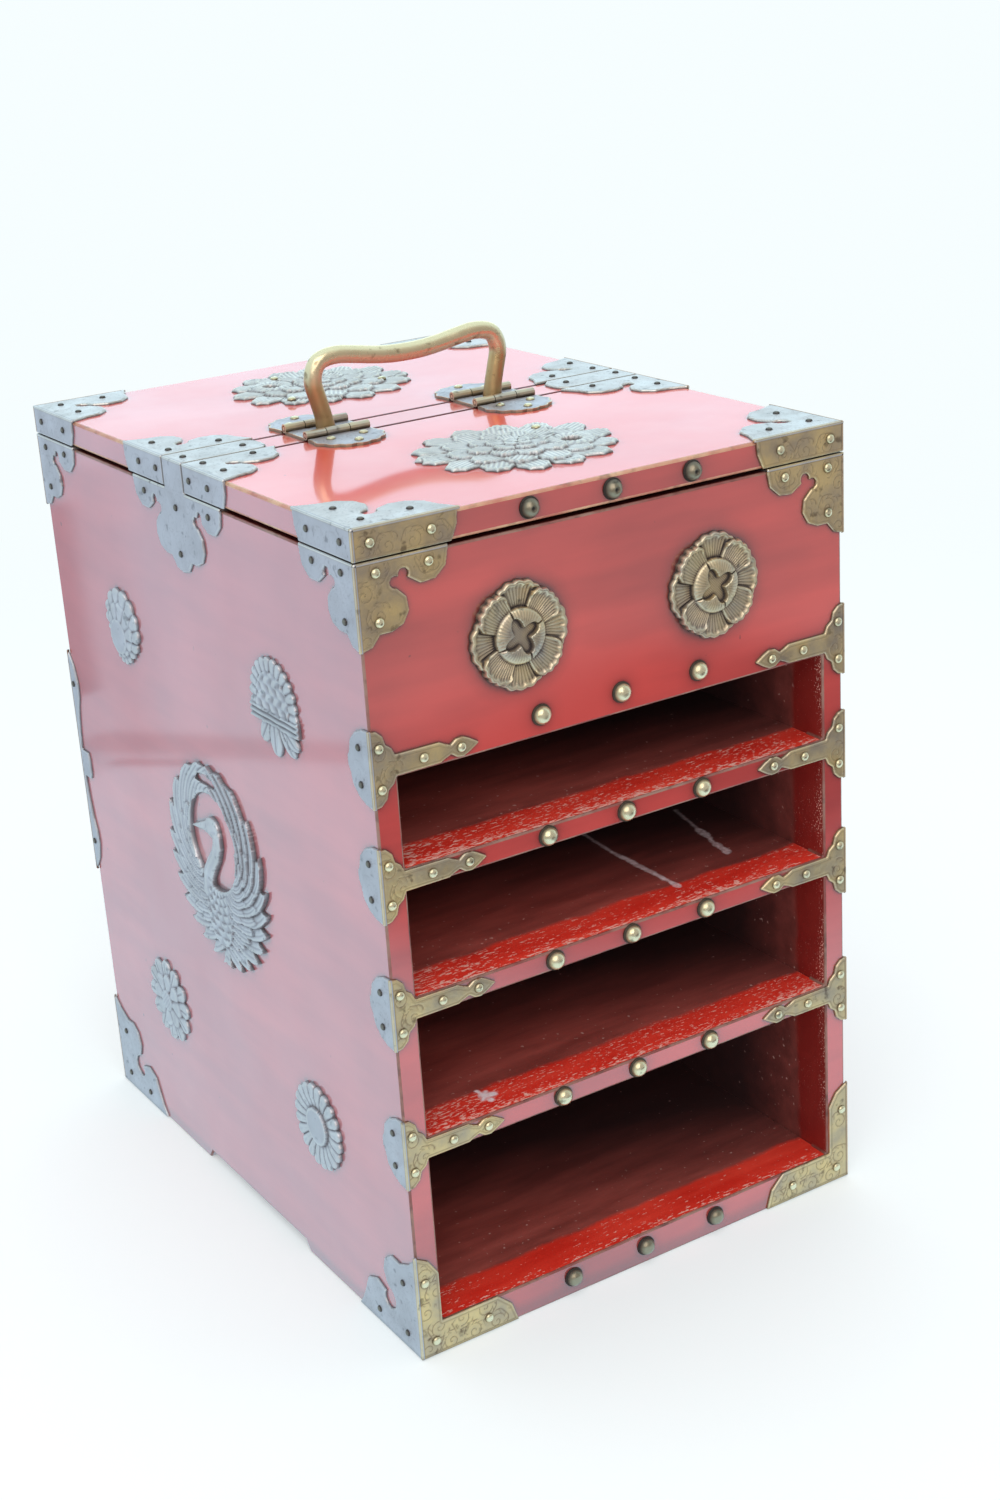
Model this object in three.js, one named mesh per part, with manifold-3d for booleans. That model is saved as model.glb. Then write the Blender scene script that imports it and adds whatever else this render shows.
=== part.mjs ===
// Lacquered jewellery cabinet with brass mounts: a case with four open drawer bays, a top compartment under
// two lids, and a fixed centre bar between the lids that carries the handle and all the hinges.
// Millimetres, +Z up. The front faces -Y. The origin is on the floor, under the middle of the whole cabinet.
import * as THREE from 'three';
import { mergeVertices } from 'three/addons/utils/BufferGeometryUtils.js';
import Module from 'manifold-3d';

const wasm = await Module();
wasm.setup();

// Case boards
const caseWidth = 198;
const caseDepth = 261.4;
const bodyHeight = 296;
const panelHeight = 73;
const sideThickness = 9.2;
const backThickness = 8;
const panelThickness = 8;
const floorThickness = 6;
const shelfThickness = 7.8;
const bottomThickness = 8;
const railHeight = 13.1;
const railThickness = 9;

// Clear heights of three of the drawer bays, as shares of the height that the boards leave under the panel.
// The second bay from the top has the rest.
const topBayShare = 0.1764;
const thirdBayShare = 0.2504;
const lowestBayShare = 0.3603;

// Shallow recess in the lower edge of each side board, between the feet
const recessLength = 89;
const recessHeight = 4;
const recessSlope = 3;

// Lids and the fixed bar between them
const lidThickness = 10;
const lidLift = 1.4;
const barWidth = 16;
const lidSeam = 0.8;

// Clearances: between pieces that turn or pass through each other, and under the lowest mounts
const clearance = 0.3;
const floorClearance = 0.3;
// How far a cutting tool runs past the faces that it cuts
const overrun = 2;

// Brass sheet of the mounts
const plate = 1;

// Mounts at the upper corners of the case: a scrolled leaf on each face and a rim plate under the lid
const cornerLeafWidth = 34.7;
const cornerSideLeafWidth = 37;
const cornerDrop = 29.5;
// Mounts at the lower corners
const footArmWidth = 9.6;
const footFrontLength = 41.5;
const footFrontHeight = 42.8;
const footSideLength = 46;
const footSideHeight = 42;
// Mounts on the corners of the lids
const lidLeafReach = 40.3;
const lidInnerReach = 37.5;
const lidInnerLength = 33.4;
const lidEdgeLength = 39.2;
// Mounts over the ends of the centre bar, each running down the side of the case into a pendant
const barLeafLength = 36.5;
const pendantHalfWidth = 36.5;
const pendantDrop = 30.7;
// T brackets where the shelves meet the side boards
const bracketLength = 41.5;
const bracketHalfHeight = 13.6;
const bracketSideWidth = 15.9;
const panelBracketRise = 4.5;
// Long mounts half way up the rear edges
const edgeMountHalfHeight = 50.4;
const edgeMountWidth = 9.1;
const edgeMountRiseShare = 0.521;

// Hinges: a plate on the bar with the fixed knuckles, a leaf on each lid and a pin
const barrelRadius = 1.7;
const pinRadius = 0.8;
const barrelLength = 26.5;
const middleKnuckleLength = 9.5;
const knuckleOverlap = 0.9;
const leafReach = 20.6;
const leafWidth = 27;

// Bare stretch of the bar between each end leaf and the hinge plate next to it
const hingeGap = 13.65;

// Handle: one bent rod whose shanks pass through the hinge plates and the bar
const handleRise = 26.6;
const handleRadius = 3.4;
const shankRadius = 2.5;
const washerRadius = 5.5;
const washerThickness = 1.2;
const shankEnd = 1.6;
const shankHeadRadius = 3.6;

// Domed studs along the front
const studRadius = 3.8;
const studHeight = 3.2;
const studRoot = 2;
const studSpacing = 33.2;
const panelStudRise = 7.6;
const railStudRise = 7.4;

// Flower rosettes on the front panel
const rosetteRadius = 19.2;
const rosetteRelief = 3.6;
// From the corner mounts to the rosettes, and from the middle of the panel up to theirs
const rosetteGap = 5.6;
const rosetteLift = 1;

// Medallions on the lids
const medallionRadius = 31;
const medallionRelief = 3;
const medallionPlaceShare = 0.5472;

// Crane roundels on the sides
const roundelRadius = 42.5;
const roundelRiseShare = 0.5034;
const roundelRelief = 3;

// Four flowers on each side, round the crane roundel
const flowerRadius = 18;
const flowerRelief = 2.4;
const flowerRoot = 1;
const flowerForwardShare = 0.249;
const upperFlowerRiseShare = 0.779;
const lowerFlowerRiseShare = 0.223;

// Steps of round stretches. A circle drawn as one curve gets two sides to each segment.
const arcStep = Math.PI / 5;
const roundSegments = 8;
const rodSegments = 6;
const domeSegments = 10;

const X = new THREE.Vector3(1, 0, 0);
const Y = new THREE.Vector3(0, 1, 0);
const Z = new THREE.Vector3(0, 0, 1);
const mirrorX = [1, 0, 0];
const mirrorY = [0, 1, 0];

// Levels and edges that several pieces share
const halfWidth = caseWidth / 2;
const halfDepth = caseDepth / 2;
const innerHalfWidth = halfWidth - sideThickness;
const lidBottom = bodyHeight + lidLift;
const lidTop = lidBottom + lidThickness;
const barHalfWidth = barWidth / 2;
const lidInnerEdge = barHalfWidth + lidSeam;
const lidDepth = halfDepth - lidInnerEdge;
const hingeY = barHalfWidth + lidSeam / 2;
const hingeZ = lidTop + clearance + barrelRadius;
const handleFoot = halfWidth + plate - barLeafLength - hingeGap - barrelLength / 2;
const panelZ = bodyHeight - panelHeight;
const clearHeight = panelZ - railHeight - 3 * shelfThickness;
const lowerShelfZ = railHeight + lowestBayShare * clearHeight;
const middleShelfZ = lowerShelfZ + shelfThickness + thirdBayShare * clearHeight;
const upperShelfZ = panelZ - topBayShare * clearHeight - shelfThickness;

const lacquer = new THREE.MeshStandardMaterial({ color: 0xb5403a, roughness: 0.25, metalness: 0 });
const brass = new THREE.MeshStandardMaterial({ color: 0x9f8f62, roughness: 0.4, metalness: 1 });
const brightBrass = new THREE.MeshStandardMaterial({ color: 0xc4a052, roughness: 0.3, metalness: 1 });

// A closed geometry as a solid: with only positions left, corners that faces share become one vertex.
function solidOf(geometry) {
  geometry.deleteAttribute('normal');
  geometry.deleteAttribute('uv');
  const merged = mergeVertices(geometry);
  const mesh = { numProp: 3, vertProperties: merged.attributes.position.array };
  return new wasm.Manifold(new wasm.Mesh({ ...mesh, triVerts: new Uint32Array(merged.index.array) }));
}

function joined(solids) {
  return solids.reduce((whole, solid) => whole.add(solid));
}

// A box between two levels along each axis.
function box([x0, x1], [y0, y1], [z0, z1]) {
  const geometry = new THREE.BoxGeometry(x1 - x0, y1 - y0, z1 - z0);
  geometry.translate((x0 + x1) / 2, (y0 + y1) / 2, (z0 + z1) / 2);
  return solidOf(geometry);
}

// A flat shape given a thickness towards +Z.
function sheet(shape, thickness, segments = roundSegments) {
  const settings = { depth: thickness, bevelEnabled: false, curveSegments: segments };
  return solidOf(new THREE.ExtrudeGeometry(shape, settings));
}

function rod(radius, length, segments = roundSegments) {
  const circle = new THREE.Shape();
  circle.absarc(0, 0, radius, 0, 2 * Math.PI);
  return sheet(circle, length, segments);
}

// Stands a solid drawn in a plane, and thick towards +Z, on a face with the given directions.
function standing(solid, across, up, out) {
  return solid.transform(new THREE.Matrix4().makeBasis(across, up, out).elements);
}

// The points of an outline. Each row is [across, up, bulge]: two shares of the sizes given, and the
// tangent of a quarter of the angle of the arc to the next row, positive where it turns left. A straight
// stretch has 0.
function outlinePoints(rows, width, height) {
  const points = [];
  rows.forEach(([across, up, bulge], i) => {
    const start = new THREE.Vector2(across * width, up * height);
    points.push(start);
    if (!bulge || i + 1 === rows.length) return;
    const end = new THREE.Vector2(rows[i + 1][0] * width, rows[i + 1][1] * height);
    const angle = 4 * Math.atan(bulge);
    const chord = end.clone().sub(start);
    const toCentre = new THREE.Vector2(-chord.y, chord.x).multiplyScalar(0.5 / Math.tan(angle / 2));
    const centre = start.clone().add(end).multiplyScalar(0.5).add(toCentre);
    const steps = Math.max(2, Math.round(Math.abs(angle) / arcStep));
    for (let step = 1; step < steps; step++) {
      points.push(start.clone().rotateAround(centre, (angle * step) / steps));
    }
  });
  return points;
}

const overAcross = (point) => new THREE.Vector2(point.x, -point.y);
const overUp = (point) => new THREE.Vector2(-point.x, point.y);
const overDiagonal = (point) => new THREE.Vector2(point.y, point.x);

function named(name, solid, material, x = 0, y = 0, z = 0) {
  const { vertProperties, triVerts } = solid.getMesh();
  const geometry = new THREE.BufferGeometry();
  geometry.setAttribute('position', new THREE.BufferAttribute(vertProperties, 3));
  geometry.setIndex(new THREE.BufferAttribute(triVerts, 1));
  geometry.computeVertexNormals();
  const mesh = new THREE.Mesh(geometry, material);
  mesh.name = name;
  mesh.position.set(x, y, z);
  return mesh;
}

// The scrolled leaf of the corner mounts and pendants, across from the edge and down from the rim: a round
// lobe, a keyhole of two bites, a large lobe and a small drop.
const scrollShares = [
  [1, 0, 0], [1, 0.051, 0.75], [0.556, 0.268, -1.7], [0.458, 0.241, -1.5], [0.432, 0.366, 0.77],
  [0.354, 0.837, 0], [0.225, 0.837, 0.33], [0, 1, 0],
];

function scrollLeaf(width, drop) {
  return new THREE.Shape([new THREE.Vector2(0, 0), ...outlinePoints(scrollShares, width, drop)]);
}

// Two plates folded over an upright edge: the first on the front, the second on the side, both drawn from
// the folded edge inwards and, as direction says, up or down.
function foldedPair(frontShape, sideShape, direction) {
  const up = Z.clone().multiplyScalar(direction);
  const front = sheet(frontShape, plate).translate([-plate, 0, 0]);
  const side = sheet(sideShape, plate).translate([-plate, 0, 0]);
  return standing(front, X, up, Y.clone().negate()).add(standing(side, Y, up, X.clone().negate()));
}

function upperCornerMount() {
  const front = scrollLeaf(cornerLeafWidth, cornerDrop);
  const side = scrollLeaf(cornerSideLeafWidth, cornerDrop);
  const leaves = foldedPair(front, side, -1).translate([0, 0, plate]);
  const frontRim = box([-plate, cornerLeafWidth - plate], [-plate, panelThickness], [0, plate]);
  const sideRim = box([-plate, sideThickness], [-plate, cornerSideLeafWidth - plate], [0, plate]);
  return joined([leaves, frontRim, sideRim]);
}

// The arms of a lower corner mount on the front, along the stile and the rail.
const armShare = footArmWidth / footFrontLength;
const railShare = railHeight / footFrontHeight;
const footFrontShares = [
  [0, 0, 0], [1, 0, 0.26], [0.802, railShare, 0], [armShare, railShare, 0], [armShare, 0.783, 0.23],
  [0, 1, 0],
];

function footFrontLeaf() {
  return new THREE.Shape(outlinePoints(footFrontShares, footFrontLength, footFrontHeight));
}

// Its scrolled leaf on the side: a lobe on the lower edge, a keyhole, and a lobe on the upright edge.
const footSideShares = [
  [0, 0, 0], [1, 0, -0.11], [0.872, 0.226, 0.61], [0.533, 0.39, -0.9], [0.435, 0.262, -0.59],
  [0.402, 0.44, 0], [0.493, 0.498, 0.78], [0.27, 0.817, -0.12], [0, 1, 0],
];

function footSideLeaf() {
  return new THREE.Shape(outlinePoints(footSideShares, footSideLength, footSideHeight));
}

function footMount(frontShape) {
  return foldedPair(frontShape, footSideLeaf(), 1).translate([0, 0, floorClearance]);
}

// Half a T bracket: the lobes of its head and the arm with its pointed end.
const bracketShares = [
  [0, 1, -0.46], [0.149, 0.581, -0.25], [0.229, 0.272, 0], [0.634, 0.265, 0.06], [0.735, 0.125, -0.42],
  [0.908, 0.176, 0], [1, 0, 0],
];
const bracketSideShares = [[0, 1, -0.17], [0.61, 0.837, -0.29], [0.912, 0.252, -0.25], [1, 0, 0]];

function mirroredLeaf(shares, width, halfHeight) {
  const half = outlinePoints(shares, width, halfHeight);
  const image = half.slice(0, -1).map(overAcross).reverse();
  return new THREE.Shape(half.concat(image));
}

function shelfBracket() {
  const front = mirroredLeaf(bracketShares, bracketLength, bracketHalfHeight);
  const side = mirroredLeaf(bracketSideShares, bracketSideWidth, bracketHalfHeight);
  return foldedPair(front, side, 1);
}

const edgeMountShares = [
  [0, 1, -0.19], [0.8, 0.72, -0.12], [0.5, 0.5, 0.05], [0.22, 0.16, 0], [0.22, 0.117, 0],
  [0.92, 0.117, -0.15], [1, 0, 0],
];

function edgeMount() {
  const leaf = mirroredLeaf(edgeMountShares, edgeMountWidth, edgeMountHalfHeight);
  return foldedPair(leaf, leaf, 1);
}

// Half of a leaf on top of a lid, from the lid's edge to the keyhole on its diagonal.
const lidLeafShares = [[0, 1, 0], [0.201, 0.911, -0.7], [0.422, 0.469, 0.56], [0.323, 0.323, 0]];

function lidTopLeaf(reachX, reachY) {
  const half = outlinePoints(lidLeafShares, 1, 1);
  const whole = half.concat(half.slice(0, -1).map(overDiagonal).reverse());
  const points = whole.map((point) => new THREE.Vector2(point.x * reachX, point.y * reachY));
  return new THREE.Shape([new THREE.Vector2(0, 0), ...points.reverse()]);
}

// A leaf down the edge of a lid, as high as the lid and its top plate, with a round end.
const lidEdgeShares = [[0, 0, 0], [0.93, 0, 0.16], [1, 1, 0], [0, 1, 0]];

function lidEdgeLeaf(length) {
  return new THREE.Shape(outlinePoints(lidEdgeShares, length, lidThickness + plate));
}

function lidCornerMount() {
  const top = sheet(lidTopLeaf(lidLeafReach, lidLeafReach), plate).translate([-plate, -plate, 0]);
  const edge = lidEdgeLeaf(lidEdgeLength);
  return top.add(foldedPair(edge, edge, 1).translate([0, 0, -lidThickness]));
}

// The mount beside the bar has no leaf on the lid's inner edge.
function lidInnerMount() {
  const top = sheet(lidTopLeaf(lidInnerReach, lidInnerLength), plate).translate([-plate, 0, 0]);
  const side = standing(sheet(lidEdgeLeaf(lidInnerLength), plate), Y, Z, X.clone().negate());
  return top.add(side.translate([0, 0, -lidThickness]));
}

// The mount over an end of the bar: a round-ended leaf along the bar, a strap down its end, a pendant of two
// scrolled halves on the side of the case, and rim plates under the lids.
const barLeafShares = [[0, 1, 0], [0.9, 1, -0.3], [1, 0, 0]];

function barEndMount() {
  const barThickness = lidTop - bodyHeight;
  const top = sheet(mirroredLeaf(barLeafShares, barLeafLength, barHalfWidth), plate);
  const strap = box([-plate, 0], [-barHalfWidth, barHalfWidth], [-barThickness, plate]);
  const half = outlinePoints(scrollShares, pendantHalfWidth, pendantDrop);
  const pendantShape = new THREE.Shape(half.concat(half.slice(0, -1).map(overUp).reverse()));
  const pendant = standing(sheet(pendantShape, plate), Y, Z.clone().negate(), X.clone().negate());
  const rim = box([-plate, sideThickness], [barHalfWidth + clearance, pendantHalfWidth], [0, plate]);
  const lower = joined([pendant.translate([0, 0, plate]), rim, rim.mirror(mirrorY)]);
  return joined([top.translate([-plate, 0, 0]), strap, lower.translate([0, 0, -barThickness])]);
}

// A domed stud, proud towards +Z.
const studShares = [[1, 0], [0.94, 0.3], [0.76, 0.72], [0.4, 0.96]];

function stud() {
  const rim = studShares.map(([out, up]) => new THREE.Vector2(out * studRadius, up * studHeight));
  const profile = [new THREE.Vector2(0, -studRoot), new THREE.Vector2(studRadius, -studRoot), ...rim];
  profile.push(new THREE.Vector2(0, studHeight));
  return solidOf(new THREE.LatheGeometry(profile, domeSegments)).rotate([90, 0, 0]);
}

// Three studs in a row across a board's front face.
function withStuds(board, height) {
  const row = [-studSpacing, 0, studSpacing].map((x) => {
    return standing(stud(), X, Z, Y.clone().negate()).translate([x, -halfDepth, height]);
  });
  return joined([board, ...row]);
}

// The flowers of the sides are drawn from outside, with the front of the case to the right.
const flowerBulge = 0.35;
const daisyPetals = 20;
const daisyHeartShare = 0.45;
const leafyPetals = 12;
const leafyInnerShare = 0.62;
const leafyHeartShare = 0.26;
const fanShares = [
  [-1.02, 0.42], [-0.92, 0.25], [-1, -0.05], [-0.95, -0.42], [-0.62, -0.72], [-0.3, -0.9], [0.02, -0.92],
  [0.3, -0.75], [0.62, -0.5], [0.92, -0.35], [0.84, -0.18], [1.02, -0.08], [0.82, 0.06], [0.96, 0.22],
  [0.78, 0.42], [0.98, 0.62], [0.7, 0.75], [0.42, 0.86], [0.1, 0.97], [-0.15, 0.92], [-0.6, 0.65],
];
const fanHeartShare = 0.4;
const fanHeartPlaceShares = [-0.15, -0.3, 0];
const sprayShares = [
  [-1.02, 0], [-0.97, -0.31], [-0.69, -0.35], [-0.75, -0.7], [-0.45, -0.62], [-0.2, -0.7], [-0.04, -1],
  [0.25, -0.72], [0.4, -0.62], [0.68, -0.75], [0.6, -0.3], [1.02, -0.15], [0.91, 0.33], [0.71, 0.64],
  [0.36, 0.88], [-0.04, 0.98], [-0.56, 0.76], [-0.83, 0.4],
];
const sprayHeadShares = [
  [-0.88, 0.06], [0, -0.1], [0.88, 0.06], [0.62, 0.55], [0.1, 0.82], [-0.5, 0.64],
];

const inFlowerSize = (shares) => shares.map((share) => share * flowerRadius);

function drawnFlower(rows) {
  return new THREE.Shape(rows.map((row) => new THREE.Vector2(...inFlowerSize(row))));
}

// A layer of a flower, up to its share of the relief. Its root is sunk in the board.
function flowerLayer(shape, reliefShare) {
  return sheet(shape, flowerRoot + reliefShare * flowerRelief).translate([0, 0, -flowerRoot]);
}

const lowLayerShare = 0.5;
const middleLayerShare = 0.75;

function sideFlowers() {
  const lobed = (count, share) => lobedShape(count, share * flowerRadius, flowerBulge);
  const heart = (share) => flowerLayer(lobed(leafyPetals, share), 1);
  const daisy = flowerLayer(lobed(daisyPetals, 1), lowLayerShare);
  const leafy = flowerLayer(lobed(leafyPetals, 1), lowLayerShare);
  const inner = flowerLayer(lobed(leafyPetals, leafyInnerShare), middleLayerShare);
  const fan = flowerLayer(drawnFlower(fanShares), lowLayerShare);
  const spray = flowerLayer(drawnFlower(sprayShares), lowLayerShare);
  const head = flowerLayer(drawnFlower(sprayHeadShares), 1);
  const fanHeart = heart(fanHeartShare).translate(inFlowerSize(fanHeartPlaceShares));
  const places = [
    [1, lowerFlowerRiseShare, daisy.add(heart(daisyHeartShare))],
    [-1, lowerFlowerRiseShare, joined([leafy, inner, heart(leafyHeartShare)])],
    [-1, upperFlowerRiseShare, fan.add(fanHeart)],
    [1, upperFlowerRiseShare, spray.add(head)],
  ];
  return joined(places.map(([forward, rise, flower]) => {
    const away = [0, -forward * flowerForwardShare * caseDepth, rise * bodyHeight];
    return standing(flower, Y.clone().negate(), Z, X.clone().negate()).translate(away);
  }));
}

function sideBoard() {
  const board = box([0, sideThickness], [-halfDepth, halfDepth], [0, bodyHeight]).add(sideFlowers());
  const half = recessLength / 2;
  const recess = new THREE.Shape([
    new THREE.Vector2(-half, -overrun),
    new THREE.Vector2(half, -overrun),
    new THREE.Vector2(half, 0),
    new THREE.Vector2(half - recessSlope, recessHeight),
    new THREE.Vector2(recessSlope - half, recessHeight),
    new THREE.Vector2(-half, 0),
  ]);
  const cutter = standing(sheet(recess, sideThickness + 2 * overrun), Y, Z, X);
  return board.subtract(cutter.translate([-overrun, 0, 0]));
}

// A board between the sides, from the front face back to the back board.
function crossBoard(bottom, thickness, front = -halfDepth) {
  const back = halfDepth - backThickness;
  return box([-innerHalfWidth, innerHalfWidth], [front, back], [bottom, bottom + thickness]);
}

function bottomBoard() {
  const board = crossBoard(railHeight - bottomThickness, bottomThickness);
  const span = [-innerHalfWidth, innerHalfWidth];
  const rail = box(span, [-halfDepth, railThickness - halfDepth], [0, railHeight]);
  return withStuds(board.add(rail), railStudRise);
}

function frontPanel() {
  const span = [-innerHalfWidth, innerHalfWidth];
  const panel = box(span, [-halfDepth, panelThickness - halfDepth], [panelZ, bodyHeight]);
  return withStuds(panel, panelZ + panelStudRise);
}

function shelf(bottom) {
  return withStuds(crossBoard(bottom, shelfThickness), bottom + shelfThickness / 2);
}

// The bar rests on the side boards and is drilled for the shanks of the handle.
function centreBar() {
  const bar = box([-halfWidth, halfWidth], [-barHalfWidth, barHalfWidth], [bodyHeight, lidTop]);
  const drill = rod(shankRadius + clearance, lidTop - bodyHeight + 2 * overrun);
  const holes = [-handleFoot, handleFoot].map((x) => drill.translate([x, 0, bodyHeight - overrun]));
  return bar.subtract(joined(holes));
}

// The centreline of the handle from its foot to its middle, as shares of the foot's distance and of the
// rise: it leans out, turns in over a round shoulder and dips to the middle.
const handleShares = [
  [1, 0], [1.02, 0.2], [1.06, 0.42], [1.1, 0.68], [1.07, 0.86], [0.985, 0.965], [0.81, 1], [0.59, 0.96],
  [0.36, 0.905], [0.14, 0.875],
];

function carryingHandle() {
  const half = handleShares.map(([x, z]) => new THREE.Vector3(x * handleFoot, 0, z * handleRise));
  const image = half.map((point) => new THREE.Vector3(-point.x, 0, point.z)).reverse();
  const path = new THREE.CatmullRomCurve3(half.concat(image));
  const circle = new THREE.Shape();
  circle.absarc(0, 0, handleRadius, 0, 2 * Math.PI);
  const settings = { steps: 2 * path.points.length, curveSegments: rodSegments, extrudePath: path };
  const bent = solidOf(new THREE.ExtrudeGeometry(circle, settings));
  const shankLength = plate + lidTop - bodyHeight + washerThickness;
  const shank = rod(shankRadius, shankLength + overrun).translate([0, 0, -shankLength]);
  const head = rod(shankHeadRadius, shankEnd).translate([0, 0, -shankLength - shankEnd]);
  const foot = shank.add(head);
  // The sweep starts square to its curve, so a flat foot is trimmed on the plate's surface.
  const collar = rod(handleRadius, overrun);
  const feet = [-handleFoot, handleFoot].map((x) => foot.add(collar).translate([x, 0, 0]));
  const below = box([-2 * handleFoot, 2 * handleFoot], [-handleRadius - overrun, handleRadius + overrun],
    [-overrun - handleRadius, 0]);
  return joined([bent.subtract(below), ...feet]);
}

function handleWasher() {
  return rod(washerRadius, washerThickness).subtract(
    rod(shankRadius + clearance, washerThickness + 2 * overrun).translate([0, 0, -overrun]));
}

// A knuckle along X, centred on the hinge axis, with the bore for the pin.
function knuckle(from, to) {
  const ring = new THREE.Shape();
  ring.absarc(0, 0, barrelRadius, 0, 2 * Math.PI);
  const bore = new THREE.Path();
  bore.absarc(0, 0, pinRadius + clearance, 0, 2 * Math.PI, true);
  ring.holes.push(bore);
  const tube = sheet(ring, to - from, rodSegments);
  return standing(tube, Y, Z, X).translate([from, 0, 0]);
}

const knuckleHalf = middleKnuckleLength / 2;
const fixedKnuckleStart = knuckleHalf + clearance;
const barrelHalf = barrelLength / 2;
// From the hinge axis: the edge of a plate that a knuckle grows from, and of one that clears a knuckle
const tuckedEdge = knuckleOverlap;
const clearEdge = barrelRadius + clearance;

// The plate on the bar lies between the barrels, with two fixed knuckles on each side and a hole for the
// shank. Its origin is on top of the bar.
function hingePlate() {
  const reach = hingeY - tuckedEdge;
  const base = box([-barrelHalf, barrelHalf], [-reach, reach], [0, plate]);
  const gap = [-fixedKnuckleStart, fixedKnuckleStart];
  const notch = box(gap, [hingeY - clearEdge, hingeY], [-overrun, overrun]);
  const drill = rod(shankRadius + clearance, plate + 2 * overrun).translate([0, 0, -overrun]);
  const outer = knuckle(fixedKnuckleStart, barrelHalf).translate([0, hingeY, hingeZ - lidTop]);
  const pair = outer.add(outer.mirror(mirrorX));
  const cut = base.subtract(joined([notch, notch.mirror(mirrorY), drill]));
  return joined([cut, pair, pair.mirror(mirrorY)]);
}

// The leaf on a lid: a middle knuckle and a fan with a scalloped rim. Its origin is on the hinge axis, on
// top of the lid, and it reaches towards +Y.
const scallops = 7;
const scallopBulge = 0.45;
const fanStartShare = 0.35;

function hingeLeaf() {
  const rim = [];
  for (let i = 0; i <= scallops; i++) {
    const angle = Math.PI * (i / scallops);
    const up = fanStartShare + (1 - fanStartShare) * Math.sin(angle);
    rim.push([0.5 * Math.cos(angle), up, i < scallops ? scallopBulge : 0]);
  }
  const fan = outlinePoints(rim, leafWidth, leafReach);
  const corners = [[-barrelHalf, clearEdge], [-knuckleHalf, clearEdge], [-knuckleHalf, tuckedEdge],
    [knuckleHalf, tuckedEdge], [knuckleHalf, clearEdge], [barrelHalf, clearEdge]];
  const shape = new THREE.Shape(fan.concat(corners.map(([x, y]) => new THREE.Vector2(x, y))));
  const middle = knuckle(-knuckleHalf, knuckleHalf).translate([0, 0, hingeZ - lidTop]);
  return sheet(shape, plate).add(middle);
}

function hingePin() {
  return standing(rod(pinRadius, barrelLength, rodSegments), Y, Z, X).translate([-barrelHalf, 0, 0]);
}

// A round outline of equal lobes, each one arc between two points of a circle.
function lobedShape(count, radius, bulge, turn = 0) {
  const rows = [];
  for (let i = 0; i <= count; i++) {
    const angle = turn + (2 * Math.PI * i) / count;
    rows.push([Math.cos(angle), Math.sin(angle), bulge]);
  }
  return new THREE.Shape(outlinePoints(rows, radius, radius).slice(0, -1));
}

// A flower rosette: eight ruffled petals, four broad petals over them and a cupped heart with a star.
const frillLobes = 24;
const frillShare = 0.94;
const frillBulge = 0.35;
const broadPetals = 4;
const petalLobes = 5;
const petalShare = 0.42;
const petalOutShare = 0.5;
const petalBulge = 0.4;
const heartLobes = 4;
const heartShare = 0.5;
const starShare = 0.22;
const starBulge = -0.3;

function rosette() {
  const layer = rosetteRelief / 4;
  const frill = sheet(lobedShape(frillLobes, frillShare * rosetteRadius, frillBulge), layer);
  const petal = sheet(lobedShape(petalLobes, petalShare * rosetteRadius, petalBulge), 2 * layer);
  const petals = [];
  for (let i = 0; i < broadPetals; i++) {
    const angle = (360 * (i + 0.5)) / broadPetals;
    petals.push(petal.translate([petalOutShare * rosetteRadius, 0, 0]).rotate([0, 0, angle]));
  }
  const heart = sheet(lobedShape(heartLobes, heartShare * rosetteRadius, petalBulge, Math.PI / 4), 3 * layer);
  const star = sheet(lobedShape(heartLobes, starShare * rosetteRadius, starBulge), rosetteRelief);
  return joined([frill, ...petals, heart, star]);
}

// A lid medallion: a wreath of leaves round a ruffled blossom, with one leaf reaching out of the round.
const wreathLobes = 13;
const wreathShare = 0.95;
const leafLobes = 5;
const leafShare = 0.24;
const leafPlaceShares = [-1.02, 0.4, 0];
const blossomLobes = 9;
const blossomShare = 0.62;
const blossomHeartShare = 0.3;
const blossomPlaceShares = [-0.12, -0.14, 0];
const leafBulge = 0.45;

function medallion() {
  const layer = medallionRelief / 3;
  const placed = (solid, shares) => solid.translate(shares.map((share) => share * medallionRadius));
  const wreath = sheet(lobedShape(wreathLobes, wreathShare * medallionRadius, leafBulge), layer);
  const leaf = sheet(lobedShape(leafLobes, leafShare * medallionRadius, leafBulge), layer);
  const blossom = sheet(lobedShape(blossomLobes, blossomShare * medallionRadius, leafBulge), 2 * layer);
  const heart = sheet(lobedShape(leafLobes, blossomHeartShare * medallionRadius, leafBulge), medallionRelief);
  const flower = placed(blossom.add(heart), blossomPlaceShares);
  return joined([wreath, placed(leaf, leafPlaceShares), flower]);
}

// A crane roundel: the raised wings meet overhead in a ring of feathers, and the neck and head stand in the
// round opening between them. Drawn with the head to the left.
const feathersPerSide = 10;
const featherNotchShare = 0.9;
const openingShare = 0.47;
const openingRiseShare = 0.24;
const slitShares = [[-0.2, 0.78, -0.35], [0.18, 0.8, -0.35], [-0.2, 0.78, 0]];
const craneShares = [
  [-0.3, -0.26], [-0.2, -0.06], [-0.06, 0.03], [0.01, 0.14], [-0.01, 0.24], [-0.1, 0.29], [-0.39, 0.29],
  [-0.16, 0.38], [-0.04, 0.46], [0.12, 0.47], [0.21, 0.39], [0.2, 0.25], [0.12, 0.08], [0.06, -0.06],
  [0.1, -0.26],
];

const topDipShare = 0.96;
const topDipBulge = -0.04;
// Where the feathers start and end, as shares of the half turn from the top, and how far a tip leans back
const firstFeatherShare = 0.1;
const lastFeatherShare = 0.96;
const featherLeanShare = 0.2;
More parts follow.
